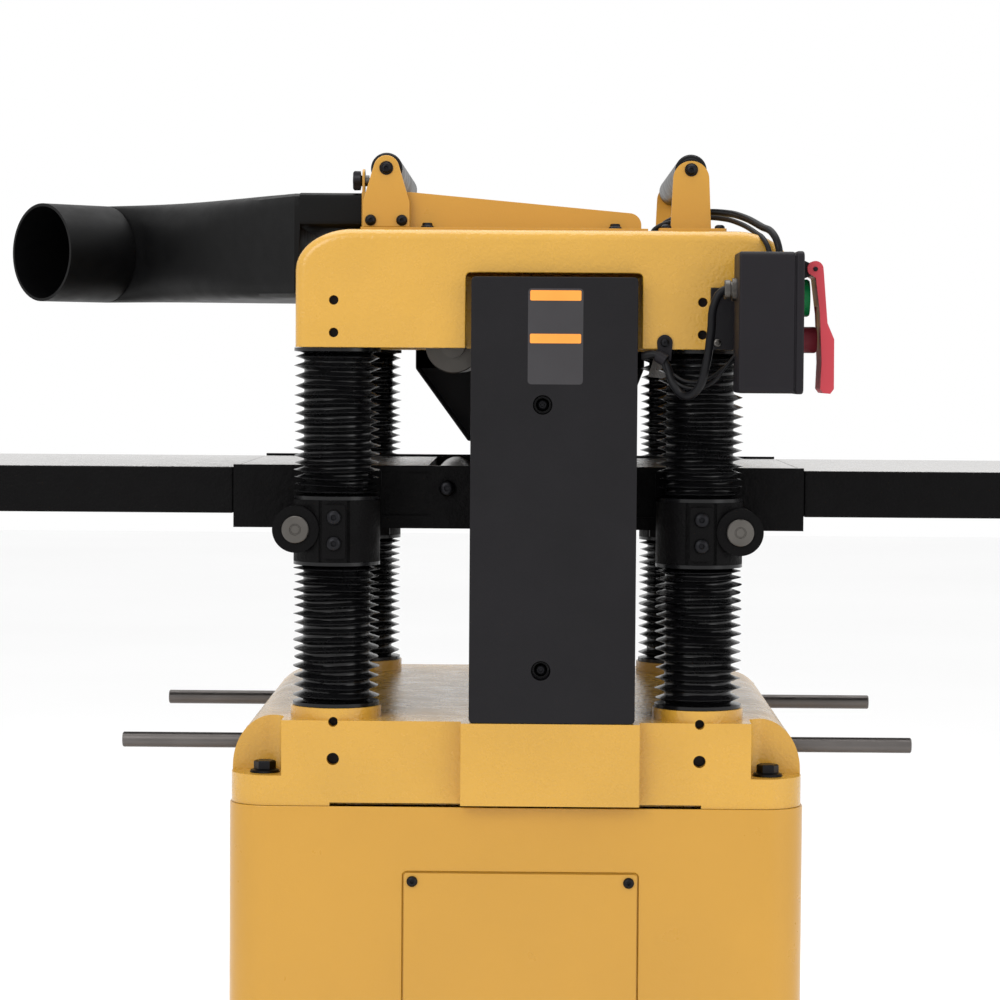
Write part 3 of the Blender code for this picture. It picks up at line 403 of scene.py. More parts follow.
def cast_paint():
    """Glossy yellow enamel over a sand casting: an orange-peel skin with small drifts of tone."""
    s = Shader("yellow_cast_paint", YELLOW, 0.24)
    s.mottle(9.0, 0.05).vary_roughness(30.0, 0.2, 0.34)
    peel = s.math("ADD", s.noise(330.0, 2.0, 0.4), s.math("MULTIPLY", s.noise(70.0), 0.9))
    s.bump(peel, 0.42, 0.0012)
    s.set("Coat Weight", 0.2).set("Coat Roughness", 0.15)
    return s.material


def sheet_paint():
    """The cast yellow made darker and more orange as painted shade and interreflection, on smooth sheet
    steel, with a finer peel.
    """
    s = Shader("yellow_sheet_paint", SHADED_SHEET_YELLOW, 0.3)
    s.mottle(6.0, 0.03).vary_roughness(24.0, 0.27, 0.37)
    s.bump(s.noise(420.0, 2.0, 0.4), 0.1, 0.0008)
    s.set("Coat Weight", 0.1).set("Coat Roughness", 0.2)
    return s.material


def powder_coat():
    """Satin black powder coat, fine-grained."""
    s = Shader("black_powder_coat", (0.006, 0.0054, 0.0068), 0.42)
    s.set("Specular IOR Level", 0.2)
    s.mottle(12.0, 0.12).vary_roughness(40.0, 0.31, 0.43)
    s.bump(s.noise(900.0, 2.0, 0.5), 0.22, 0.0006)
    return s.material


def sandy_iron(machined=True):
    """Black paint over sand-cast iron, with the machined tops left bright where they are level."""
    name = "machined_black_iron" if machined else "black_cast_iron"
    s = Shader(name, BLACK, 0.5)
    s.set("Specular IOR Level", 0.075)
    grain = s.math("ADD", s.noise(520.0, 3.0, 0.65), s.math("MULTIPLY", s.cells(260.0), 0.7))
    s.bump(grain, 0.55, 0.0012)
    s.vary_roughness(60.0, 0.38, 0.56)
    if not machined:
        s.mottle(20.0, 0.2)
        return s.material
    normal = s.node("TexCoord").outputs["Normal"]
    high = s.span(s.height(s.place), 0.0, 1.0, TABLE_TOP - 0.0008, TABLE_TOP - 0.0004)
    flat = s.span(s.height(normal), 0.0, 1.0, 0.8, 0.92)
    bright = s.math("MULTIPLY", high, flat)
    lay = s.noise(40.0, 3.0, 0.6, s.scaled((3.0, 60.0, 3.0)))
    steel = s.mix(s.span(lay, 0.0, 1.0, 0.3, 0.7), (0.47, 0.46, 0.45), (0.6, 0.59, 0.58))
    s.set("Base Color", s.mix(bright, BLACK, steel)).set("Metallic", bright)
    dull = s.span(s.noise(60.0, 3.0), 0.42, 0.58, 0.3, 0.7)
    s.set("Roughness", s.math("SUBTRACT", dull, s.math("MULTIPLY", bright, 0.22)))
    return s.material


def metal(name, colour, low, high, grain=(60.0, 3.0, 60.0), strength=0.12):
    """Bare metal with fine lines along one way and drifting polish."""
    s = Shader(name, colour, (low + high) / 2, 1.0)
    s.mottle(25.0, 0.1).vary_roughness(50.0, low, high)
    s.bump(s.noise(22.0, 4.0, 0.7, s.scaled(grain)), strength, 0.0005)
    return s.material


def plastic(name, colour, low, high, grain=1400.0, strength=0.16, mottle=0.06):
    """Moulded plastic with a spark-eroded grain."""
    s = Shader(name, colour, (low + high) / 2)
    s.set("Specular IOR Level", 0.14)
    s.mottle(18.0, mottle).vary_roughness(45.0, low, high)
    s.bump(s.noise(grain, 2.0, 0.5), strength, 0.0004)
    return s.material


def bellows_rubber():
    """Glossy black rubber with a dusty bloom in places."""
    s = Shader("bellows_rubber", (0.0045, 0.0045, 0.005), 0.24)
    s.mottle(22.0, 0.15).vary_roughness(34.0, 0.2, 0.3)
    s.bump(s.noise(240.0, 2.0, 0.5), 0.03, 0.0005)
    s.set("Specular IOR Level", 0.3)
    return s.material


CAST_PAINT = cast_paint()
SHEET_PAINT = sheet_paint()
POWDER = powder_coat()
IRON = sandy_iron(machined=False)
BED_IRON = sandy_iron()
RUBBER = bellows_rubber()
STEEL = metal("ground_steel", (0.33, 0.32, 0.31), 0.24, 0.38)
BAR_STEEL = metal("dark_bar_steel", (0.125, 0.115, 0.11), 0.34, 0.5, (5.0, 90.0, 90.0))
ZINC = metal("zinc_plate", (0.105, 0.098, 0.09), 0.28, 0.44)
BOLT_BLACK = metal("black_oxide", (0.018, 0.018, 0.02), 0.32, 0.48, (60.0, 60.0, 60.0), 0.2)
CHUTE_PLASTIC = plastic("chute_plastic", (0.0016, 0.0016, 0.0018), 0.42, 0.54, 700.0, 0.2)
BLACK_PLASTIC = plastic("box_plastic", (0.011, 0.0098, 0.012), 0.42, 0.55)
BELT_RUBBER = plastic("belt_rubber", (0.016, 0.016, 0.016), 0.65, 0.8, 500.0, 0.3)
ROLLER_RUBBER = plastic("roller_rubber", (0.006, 0.006, 0.007), 0.3, 0.42, 600.0, 0.12)
JACKET = plastic("cable_jacket", (0.006, 0.006, 0.007), 0.3, 0.42, 600.0, 0.1)
RED = plastic("paddle_red", (0.44, 0.05, 0.065), 0.36, 0.46)
# The stop button's red is darkened to a maroon: painted shade from the paddle that hangs over it.
SHADE_DARKENED_RED = plastic("button_red_painted_shade", (0.165, 0.018, 0.028), 0.34, 0.44)
GREEN = plastic("button_green", (0.004, 0.185, 0.05), 0.28, 0.38)
LABEL_DARK = plastic("label_dark", (0.045, 0.043, 0.046), 0.3, 0.4, 900.0, 0.05)
LABEL_ORANGE = plastic("label_orange", (0.9, 0.33, 0.06), 0.35, 0.45, 900.0, 0.05)

SLOTS = {
    skin.name: slot
    for slot, skins in {
        "yellow_paint": (CAST_PAINT, SHEET_PAINT),
        "black_paint": (POWDER,),
        "black_cast_iron": (IRON, BED_IRON),
        "ground_steel": (STEEL, ZINC),
        "dark_steel": (BAR_STEEL, BOLT_BLACK),
        "black_plastic": (CHUTE_PLASTIC, BLACK_PLASTIC, LABEL_DARK, LABEL_ORANGE),
        "roller_rubber": (ROLLER_RUBBER,),
        "cable_jacket": (JACKET,),
        "red_plastic": (RED,),
        "dark_red_plastic": (SHADE_DARKENED_RED,),
        "green_plastic": (GREEN,),
    }.items()
    for skin in skins
}

# ---------------------------------------------------------------- small hardware


def fastener(name, place, axis, size, body="frame", skin=BOLT_BLACK, washer=0.0, hexagonal=False):
    """A screw or bolt head of this width that sits at place and points along axis."""
    axis = Vector(axis).normalized()
    radius = size / 2
    parts = []
    base = 0.0
    if washer:
        parts.append(rod(f"{name}_washer", washer, place, Vector(place) + axis * 0.0012, 32, 0.0003))
        base = 0.0012
    start = Vector(place) + axis * base
    if hexagonal:
        tall = 0.48 * size
        parts.append(turned(
            f"{name}_flange",
            [(0, 0), (radius * 1.28, 0), (radius * 1.28, 0.0012), (radius * 0.95, 0.0026), (0, 0.0026)],
            start, axis, 32))
        hexagon = turned(
            f"{name}_head",
            [(0, 0.001), (radius, 0.001), (radius, tall - 0.001), (radius * 0.86, tall), (0, tall)],
            start, axis, 6)
        hexagon.data.set_sharp_from_angle(angle=math.radians(20))
        parts.append(hexagon)
    else:
        dome = [(0, 0), (radius, 0), (radius, 0.001)]
        steps = 6
        dome += [
            (radius * math.cos(a) * 0.995, 0.001 + 0.55 * radius * math.sin(a))
            for a in (math.radians(62 * i / steps) for i in range(1, steps + 1))
        ]
        top = dome[-1][1]
        dome += [(radius * 0.36, top), (radius * 0.3, top - 0.45 * radius), (0, top - 0.45 * radius)]
        parts.append(turned(f"{name}_head", dome, start, axis, 32))
    return dress(join(name, parts), skin, body=body)


def socket_recess(place, axis, radius, depth, name):
    """A cutter for a blind round hole."""
    start = Vector(place) + Vector(axis) * 0.01
    return rod(name, radius, start, Vector(place) - Vector(axis) * depth, 32)


# ---------------------------------------------------------------- cabinet and base


def cabinet():
    x, y, sheet, corner = CABINET_HIGH.x, CABINET_HIGH.y, 0.003, 0.04
    outer = round_rectangle((-x, x), (-y, y), corner, 16)
    inner = round_rectangle((sheet - x, x - sheet), (sheet - y, y - sheet), corner - sheet, 16)
    walls = prism("cabinet_walls", outer, 0.0, CABINET_HIGH.z, "z", inner)
    edge = 0.006
    groove = 0.0015
    border = round_rectangle(
        (PANEL_LOW.x - groove, PANEL_HIGH.x + groove),
        (PANEL_LOW.z - groove, PANEL_HIGH.z + groove), 0.0045, 4)
    within = round_rectangle(
        (PANEL_LOW.x + groove, PANEL_HIGH.x - groove),
        (PANEL_LOW.z + groove, PANEL_HIGH.z - groove), 0.002, 4)
    carve(walls, cuts=[
        box("doorway", (PANEL_LOW.x + edge, PANEL_HIGH.x - edge), (-y - 0.01, 0.02 - y),
            (PANEL_LOW.z + edge, PANEL_HIGH.z - edge)),
        prism("panel_groove", border, -y - 0.01, -y + 0.0018, "y", within), ])
    floor = prism("cabinet_floor", inner, 0.0, sheet, "z")
    shell = join("cabinet_shell_fine", [walls, floor])
    round_edges(shell, 0.0012, 2)
    dress(shell, SHEET_PAINT, "cabinet_shell")
    outline = round_rectangle((PANEL_LOW.x, PANEL_HIGH.x), (PANEL_LOW.z, PANEL_HIGH.z), 0.003, 6)
    panel = prism("access_panel_fine", outline, PANEL_LOW.y, PANEL_HIGH.y)
    round_edges(panel, 0.0006, 2)
    dress(panel, SHEET_PAINT, "motor_access_panel")
    for i, (px, pz) in enumerate((
            (PANEL_LOW.x + 0.008, PANEL_HIGH.z - 0.008), (PANEL_HIGH.x - 0.008, PANEL_HIGH.z - 0.008),
            (PANEL_LOW.x + 0.008, PANEL_LOW.z + 0.008), (PANEL_HIGH.x - 0.008, PANEL_LOW.z + 0.008))):
        fastener(f"panel_screw_{i}", (px, PANEL_LOW.y, pz), (0, -1, 0), 0.0105)


def base_casting():
    wall, holes = 0.014, ((0.554, 0.0058, 0.0115), (0.5895, 0.0044, 0.0135))
    run, side_top = BASE_X - SHOULDER[0], DECK - SHOULDER[1]
    outline = [(-BASE_X, BASE_LOW.z), (BASE_X, BASE_LOW.z)]
    outline += arc((run, side_top), SHOULDER, 0, 90, 14)
    outline += arc((-run, side_top), SHOULDER, 90, 180, 14)
    base = prism("base_casting_fine", outline, -BASE_Y, BASE_Y)
    plan = round_rectangle((-BASE_X, BASE_X), (-BASE_Y, BASE_Y), BASE_CORNER_R, 12)
    trim = base.modifiers.new("plan", "BOOLEAN")
    trim.operation = "INTERSECT"
    trim.object = prism("base_plan", plan, BASE_LOW.z - 0.01, DECK + 0.01, "z")
    bake(base)
    bpy.data.objects.remove(bpy.data.objects["base_plan"])
    inner_x, inner_y, ceiling = BASE_X - wall, BASE_Y - wall, DECK - wall
    carve(base, (), [box("base_under", (-inner_x, inner_x), (-inner_y, inner_y),
                         (BASE_LOW.z - 0.01, ceiling))])
    adds = [
        box("belt_pad_fine", (-0.053, 0.118), (BASE_LOW.y, -0.255), (BASE_LOW.z, DECK)),
        cross_rod("wheel_boss_fine", 0.022, WHEEL_X, WHEEL_Z, BASE_Y - 0.016, BASE_HIGH.y), ]
    cuts = [
        box("belt_slot_fine", (-0.033, 0.093), (-0.292, -0.258), (0.5, 0.6)),
        box("seam_relief", (-0.179, 0.178), (-0.31, -0.276), (BASE_LOW.z - 0.01, BASE_LOW.z + 0.0032)),
        cross_rod("wheel_bore_fine", 0.0085, WHEEL_X, WHEEL_Z, 0.25, 0.32, 24), ]
    for side in (-1, 1):
        cuts.append(rod(f"nut_bore_{side}", 0.0207, (WHEEL_X, side * SCREW_Y, 0.57),
                        (WHEEL_X, side * SCREW_Y, 0.6), 32))
    for name, sx, sy in CORNERS:
        x, y = sx * COLUMN_X, sy * COLUMN_Y
        adds.append(rod(f"boss_{name}", BOSS_R, (x, y, DECK - 0.01), (x, y, BASE_HIGH.z), 56))
        cuts.append(rod(f"bore_{name}", COLUMN_BORE_R, (x, y, 0.53), (x, y, 0.62), 48))
        adds.append(box(f"corner_block_{name}", on_side(sx, 0.2, inner_x + 0.001),
                        on_side(sy, 0.224, inner_y + 0.001), (BASE_LOW.z, ceiling + 0.0015)))
        pocket = round_rectangle(
            on_side(sx, 0.2255, 0.33), on_side(sy, 0.24, 0.35), 0.016, 6)
        cuts.append(prism(f"pocket_{name}", pocket, POCKET_FLOOR, 0.62, "z"))
        cuts.append(rod(f"bar_bore_{name}", 0.0079, (sx * 0.25, sy * BAR_Y, BAR_Z),
                        (sx * 0.28, sy * BAR_Y, BAR_Z), 24))
        face = sy * BASE_Y
        for z, radius, depth in holes:
            cuts.append(socket_recess((x, face, z), (0, sy, 0), radius + 0.0002, depth + 0.0015,
                                      f"hole_{z}_{name}"))
    carve(base, adds, cuts)
    round_edges(base, 0.0035, 3, lambda p: 0.35 if p.z < 0.53 else 1.0)
    dress(base, CAST_PAINT, "base_casting")
    for name, sx, sy in CORNERS:
        place = (sx * 0.2435, sy * 0.26, POCKET_FLOOR)
        fastener(f"corner_bolt_{name}", place, (0, 0, 1), 0.0215, washer=0.0145, hexagonal=True)
        for z, radius, depth in holes:
            deep = sy * (BASE_Y - depth)
            # A black disc at the hole's floor: painted shade of the deep hole.
            hole_shade_disc = rod(f"hole_floor_{name}_{round(z * 1000)}", radius, (sx * COLUMN_X, deep, z),
                       (sx * COLUMN_X, deep - sy * 0.001, z), 24, 0.0002)
            dress(hole_shade_disc, BLACK_PLASTIC)


# ---------------------------------------------------------------- columns and bellows


def bellows(name, low, high, x, y, phase):
    """A pleated sleeve: sharp crests, round valleys, each pleat tipped a little its own way."""
    bm = bmesh.new()
    sides, flange = 64, 0.0042
    stretch = (high - low) - 2 * flange
    count = round(stretch / 0.0082)
    bore, valley, crest, collar = 0.0275, 0.0322, 0.0414, 0.042
    far_end_up = "upper" in name

    def level(pleats):
        """Height of the seam after this many pleats: they lie closer together by the table."""
        share = pleats / count
        share = share if far_end_up else 1 - share
        reach = share + 0.2 * share * (share - 1)
        return low + flange + stretch * (reach if far_end_up else 1 - reach)

    profile = [(bore, low, 0), (collar, low, 0), (collar, low + flange * 0.8, 0),
               (0.036, low + flange, 0)]
    shape = ((0.0, 0.0), (0.14, 0.05), (0.44, 0.86), (0.485, 1.0), (0.515, 1.0), (0.56, 0.86),
             (0.86, 0.05))
    for i in range(count):
        reach = crest - 0.0007 * math.sin(2.1 * i + phase)
        for along, out in shape:
            z = level(i + along)
            profile.append((valley + (reach - valley) * out, z, i + 1))
    profile += [(0.036, high - flange, 0), (collar, high - flange * 0.8, 0), (collar, high, 0),
                (bore, high, 0)]
    rings = []
    for radius, z, pleat in profile:
        ease = min(1.0, (z - low - flange) / 0.012, (high - flange - z) / 0.012) if pleat else 0.0
        ring = []
        for k in range(sides):
            angle = math.tau * k / sides
            tip = 0.0011 * math.sin(angle + phase + 0.35 * pleat) + 0.0004 * math.sin(3 * angle + pleat)
            ring.append(bm.verts.new((
                x + radius * math.cos(angle), y + radius * math.sin(angle), z + tip * max(ease, 0.0))))
        rings.append(ring)
    for first, second in zip(rings, rings[1:] + rings[:1]):
        for k in range(sides):
            n = (k + 1) % sides
            bm.faces.new((first[k], first[n], second[n], second[k]))
    sleeve = new_object(f"{name}_fine", bm, smooth=50)
    sleeve.data.materials.append(RUBBER)
    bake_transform(sleeve)
    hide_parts(name)


def columns_and_bellows():
    for i, (name, sx, sy) in enumerate(CORNERS):
        coat(NODES[f"{name}_column"], STEEL)
        for place in ("lower", "upper"):
            node = f"{name}_{place}_bellows"
            low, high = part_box(node)
            bellows(node, low[2], high[2], sx * COLUMN_X, sy * COLUMN_Y, 1.7 * i + len(place))


# ---------------------------------------------------------------- table


def table():
    body = box("table_casting_fine", (-TABLE_X, TABLE_X), (-TABLE_Y, TABLE_Y),
               (TABLE_UNDER, TABLE_HIGH.z))
    wall, plate = 0.012, 0.016
    adds, cuts = [], [
        box("bed", (-0.3, 0.3), (-WORK_Y, WORK_Y), (TABLE_TOP, 0.85)),
        box("under", (wall - TABLE_X, TABLE_X - wall), (wall - TABLE_Y, TABLE_Y - wall),
            (TABLE_UNDER - 0.01, TABLE_TOP - plate)), ]
    for side in (-1, 1):
        y = side * SCREW_Y
        adds.append(box(f"screw_pad_{side}", (0.018, 0.062), (y - 0.025, y + 0.025),
                        (TABLE_UNDER, 0.815)))
        for end in (-1, 1):
            cuts.append(box(f"side_step_{side}_{end}", on_side(end, 0.0885, 0.135),
                            on_side(side, TABLE_Y - 0.003, TABLE_Y + 0.01), (0.784, 0.8275)))
    for name, sx, sy in CORNERS:
        x, y = sx * COLUMN_X, sy * COLUMN_Y
        adds += [
            rod(f"collar_{name}", COLLAR_R, (x, y, COLLAR_Z[0]), (x, y, COLLAR_Z[1]), 56),
            box(f"web_{name}", (x - 0.0315, x + 0.0315), on_side(sy, TABLE_Y - 0.004, 0.222),
                (COLLAR_Z[0] + 0.001, COLLAR_Z[1] - 0.001)),
            prism(f"gib_pad_{name}", round_rectangle(
                (x - 0.011, x + 0.011), (COLLAR_Z[0] + 0.004, COLLAR_Z[1] - 0.004), 0.003),
                *on_side(sy, 0.262, 0.287)),
            rod(f"lock_boss_{name}", 0.0225, (sx * LOCK_X, sy * (TABLE_Y - 0.004), LOCK_Z),
                (sx * LOCK_X, sy * 0.28, LOCK_Z)),
        ]
        cuts.append(rod(f"collar_bore_{name}", COLUMN_BORE_R, (x, y, 0.73), (x, y, 0.82), 48))
        for edge in (-1, 1):
            slot = x + edge * 0.0135
            cuts.append(box(f"pad_groove_{name}_{edge}", (slot - 0.0015, slot + 0.0015),
                            on_side(sy, 0.2775, 0.295), (0.738, 0.809)))
    for sx in (-1, 1):
        cuts.append(cross_rod(f"lock_bore_{sx}", 0.0095, sx * LOCK_X, LOCK_Z, -0.3, 0.3, 32))
    for x in BED_ROLLERS_X:
        cuts.append(box(f"roller_slot_{x}", (x - 0.0215, x + 0.0215), (-0.1845, 0.1845), (0.76, 0.85)))
        cuts.append(cross_rod(f"roller_bore_{x}", 0.0079, x, BED_ROLLER_Z, -0.21, 0.21, 32))
    carve(body, adds, cuts)
    round_edges(body, 0.0026, 3, lambda p: 0.2 if p.z > 0.828 and abs(p.y) < 0.188 else 1.0)
    dress(body, BED_IRON, "table_casting", body="table")
    for name, sx, sy in CORNERS:
        for z in (0.786, 0.761):
            fastener(f"gib_screw_{name}_{round(z * 1000)}", (sx * COLUMN_X, sy * 0.287, z),
                     (0, sy, 0), 0.0145, "table")


def roller_end_screws():
    for x in BED_ROLLERS_X:
        for side in (-1, 1):
            fastener(f"roller_end_screw_{x}_{side}", (x, side * 0.1994, BED_ROLLER_Z), (0, side, 0),
                     0.016, "table")


def extensions():
    for node, sx in (("outfeed_extension", -1), ("infeed_extension", 1)):
        low, high = extent(node)
        body = box(f"{node}_fine", (low.x, high.x), (low.y, high.y), (low.z, high.z))
        wall = 0.012
        cuts = [box(f"{node}_under", (low.x + wall, high.x - wall), (low.y + wall, high.y - wall),
                    (low.z - 0.01, high.z - wall))]
        carve(body, (), cuts)
        ribs = [body]
        for i in range(1, 4):
            x = low.x + (high.x - low.x) * i / 4
            ribs.append(box(f"{node}_rib_{i}", (x - 0.004, x + 0.004), (low.y + wall, high.y - wall),
                            (low.z + 0.01, high.z - wall)))
        ribs.append(box(f"{node}_spine", (low.x + wall, high.x - wall), (-0.004, 0.004),
                        (low.z + 0.01, high.z - wall)))
        whole = join(f"{node}_fine", ribs)
        round_edges(whole, 0.0022, 3)
        dress(whole, BED_IRON, node, body="table")
        inner = low.x if sx > 0 else high.x
        for i, y in enumerate((-0.13, 0.0, 0.13)):
            fastener(f"{node}_bolt_{i}", (inner + sx * wall, y, 0.8), (sx, 0, 0), 0.013, "table",
                     hexagonal=True)


def bed_rollers():
    for node in ("rear_bed_roller", "front_bed_roller"):
        centre = middle(node)
        radius, chamfer = 0.02, 0.001
        half = [(0.0, 0.199), (0.0065, 0.199), (0.0075, 0.198), (0.0075, 0.183),
                (radius - chamfer, 0.183), (radius, 0.182)]
        profile = both_ways(half)
        roller = turned(f"{node}_fine", profile, (centre.x, 0, centre.z), (0, 1, 0), 64)
        dress(roller, STEEL, node, body=node)


def table_locks():
    for node, sx in (("rear_table_lock", -1), ("front_table_lock", 1)):
        x = sx * LOCK_X
        disc = [(0, -0.2833), (0.004, -0.2833), (0.0044, -0.2828), (0.0052, -0.2828), (0.0056, -0.2833),
                (0.0122, -0.2833), (0.013, -0.2826), (0.013, -0.2803), (0.009, -0.2803),
                (0.009, 0.2815), (0.0145, 0.2815), (0.016, 0.283), (0.016, 0.303), (0.0145, 0.305),
                (0, 0.305)]
        shaft = turned(f"{node}_shaft", disc, (x, 0, LOCK_Z), (0, 1, 0), 48)
        arm = turned(f"{node}_arm", [(0, 0), (0.0065, 0), (0.005, 0.072), (0, 0.072)],
                     (x, 0.295, LOCK_Z), (0, 0.008, -0.075), 24)
        whole = join(f"{node}_fine", [shaft, arm])
        dress(whole, ZINC, node, body=node)
        steps = 12
        ball = [(0.011 * math.sin(math.pi * i / steps), -0.011 * math.cos(math.pi * i / steps))
                for i in range(steps + 1)]
        ball[0], ball[-1] = (0, -0.011), (0, 0.011)
        knob = turned(f"{node}_knob", ball, (x, 0.303, LOCK_Z - 0.0835), (0, 0, 1), 32)
        dress(knob, BLACK_PLASTIC, body=node)


# ---------------------------------------------------------------- raising gear


def raising_gear():
    for side in ("left", "right"):
        node = f"{side}_elevating_screw"
        low, high = extent(node)
        x, y = (low.x + high.x) / 2, (low.y + high.y) / 2
        profile = [(0, low.z), (0.0065, low.z)]
        pitch, top = 0.004, 0.752
        for i in range(int((top - low.z - 0.004) / pitch)):
            z = low.z + 0.002 + pitch * i
            profile += [(0.0065, z), (0.008, z + 0.0008), (0.008, z + 0.0022), (0.0065, z + 0.003)]
        profile += [(0.008, top), (0.008, 0.758), (0.0155, 0.758), (0.016, 0.7585), (0.016, high.z),
                    (0, high.z)]
        screw = turned(f"{node}_fine", profile, (x, y, 0), (0, 0, 1), 32)
        dress(screw, STEEL, node, body="table")
    for node in ("left_sprocket_nut", "right_sprocket_nut", "elevation_chain"):
        coat(NODES[node], STEEL)


def handwheel():
    x, z, y, radius = WHEEL_X, WHEEL_Z, 0.33, 0.085
    shaft = turned("wheel_shaft", [
        (0, 0.1645), (0.0136, 0.1645), (0.0236, 0.1745), (0.0236, 0.1785), (0.008, 0.1785),
        (0.008, 0.306),
        (0.0185, 0.306), (0.02, 0.3075), (0.02, 0.335), (0.017, 0.3395), (0.01, 0.34), (0.009, 0.3385),
        (0, 0.3385)], (x, 0, z), (0, 1, 0), 48)
    rim = turned("wheel_rim", arc((radius, y), (0.009, 0.009), 0, 345, 23), (x, 0, z), (0, 1, 0), 96,
                 closed=True)
    parts = [shaft, rim]
    for i in range(3):
        angle = math.radians(15 + 120 * i)
        reach = Vector((math.cos(angle), 0, math.sin(angle)))
        start = Vector((x, y - 0.008, z)) + reach * 0.012
        end = Vector((x, y, z)) + reach * (radius - 0.004)
        length = (end - start).length
        parts.append(turned(f"wheel_spoke_{i}",
                            [(0, 0), (0.0088, 0), (0.0066, length * 0.5), (0.0074, length), (0, length)],
                            start, end - start, 24))
    angle = math.radians(225)
    grip = Vector((x + radius * math.cos(angle), y, z + radius * math.sin(angle)))
    parts.append(rod("wheel_pin", 0.004, grip, grip + Vector((0, 0.068, 0)), 24, 0.0006))
    dress(join("handwheel_fine", parts), IRON, "handwheel", body="handwheel")
    steps = 14
    body = [(0.0044, 0.011), (0.0088, 0.011)]
    for i in range(steps + 1):
        t = i / steps
        swell = 0.0088 + 0.0032 * math.sin(math.pi * t ** 0.8) - 0.0016 * t
        body.append((swell, 0.012 + 0.05 * t))
    body += [(0.005, 0.064), (0.0044, 0.064)]
    handle = turned("handwheel_grip_fine", body, grip, (0, 1, 0), 40, closed=True)
    dress(handle, BLACK_PLASTIC, "handwheel_grip", body="handwheel_grip")


def lift_bars():
    for name, sx, sy in CORNERS:
        node = f"{name}_lift_bar"
        low, high = extent(node)
        y, z = sy * BAR_Y, BAR_Z
        bar = rod(f"{node}_fine", 0.0075, (low.x, y, z), (high.x, y, z), 40, 0.001)
        dress(bar, BAR_STEEL, node, body=node)


# ---------------------------------------------------------------- head and cutting group


def head_casting():
    corner, wall = (0.055, 0.04), 0.012
    low_x, high_x, low_z, top = HEAD_LOW.x, HEAD_HIGH.x, HEAD_LOW.z, HEAD_HIGH.z

    def outline(inset):
        size = (corner[0] - inset, corner[1] - inset)
        points = [(low_x + inset, low_z - inset), (high_x - inset, low_z - inset)]
        points += arc((high_x - corner[0], top - corner[1]), size, 0, 90, 16)
        return points + arc((low_x + corner[0], top - corner[1]), size, 90, 180, 16)

    y = HEAD_HIGH.y
    head = prism("head_casting_fine", outline(0.0), -y, y)
    hollow = prism("head_hollow", outline(wall), wall - y, y - wall)
    adds, cuts = [], []
    for side in (-1, 1):
        adds.append(box(f"cheek_{side}", (low_x + 0.006, high_x - 0.006),
                        on_side(side, 0.198, 0.21), (low_z, 1.02)))
    for name, sx, sy in CORNERS:
        x, cy = sx * COLUMN_X, sy * COLUMN_Y
        adds.append(rod(f"head_boss_{name}", 0.034, (x, cy, low_z), (x, cy, 1.0325), 40))
        cuts.append(rod(f"head_bore_{name}", COLUMN_BORE_R, (x, cy, 0.93), (x, cy, 1.0303), 40))
        hole_x = x - 0.001
        for z in HEAD_HOLES_Z:
            cuts.append(socket_recess((hole_x, sy * y, z), (0, sy, 0), 0.0045, 0.01,
                                      f"head_hole_{name}_{z}"))
            # A black disc at the hole's floor: painted shade of the deep hole.
            hole_shade_disc = rod(f"head_hole_floor_{name}_{round(z * 1000)}", 0.0043,
                       (hole_x, sy * (y - 0.0085), z), (hole_x, sy * (y - 0.0095), z), 24, 0.0002)
            dress(hole_shade_disc, BLACK_PLASTIC)
    notch = round_rectangle((-0.051, 0.1175), (0.8, 1.021), 0.004, 4)
    cuts += [
        prism("belt_notch_fine", notch, -0.31, -0.25),
        box("chip_outlet_fine", (-0.115, 0.04), (-0.18, 0.18), (1.04, 1.08)),
        cross_rod("cutter_bore_fine", 0.0155, CUTTER_X, CUTTER_Z, -0.25, 0.3, 32),
        cross_rod("finger_bore_fine", 0.0065, 0.16, 0.962, -0.2056, 0.2056, 24), ]
    for x in (-0.065, 0.085):
        cuts.append(cross_rod(f"feed_bore_{x}", 0.0125, x, FEED_Z, -0.22, 0.3, 32))
    carve(head, (), [hollow])
    carve(head, adds, cuts)

    def rule(point):
        if abs(abs(point.y) - y) < 1e-4 and point.z > low_z + 0.004 and not (
                -0.053 < point.x < 0.1195 and point.z < 1.024 and point.y < 0):
            near_hole = any(
                abs(point.x - sx * COLUMN_X + 0.001) < 0.006 and abs(point.z - z) < 0.006
                for _, sx, _ in CORNERS for z in HEAD_HOLES_Z)
            return 0.05 if near_hole else 1.0
        return 0.12

    round_edges(head, 0.01, 5, rule)
    head.modifiers["round_edges"].use_clamp_overlap = False
    dress(head, CAST_PAINT, "head_casting")


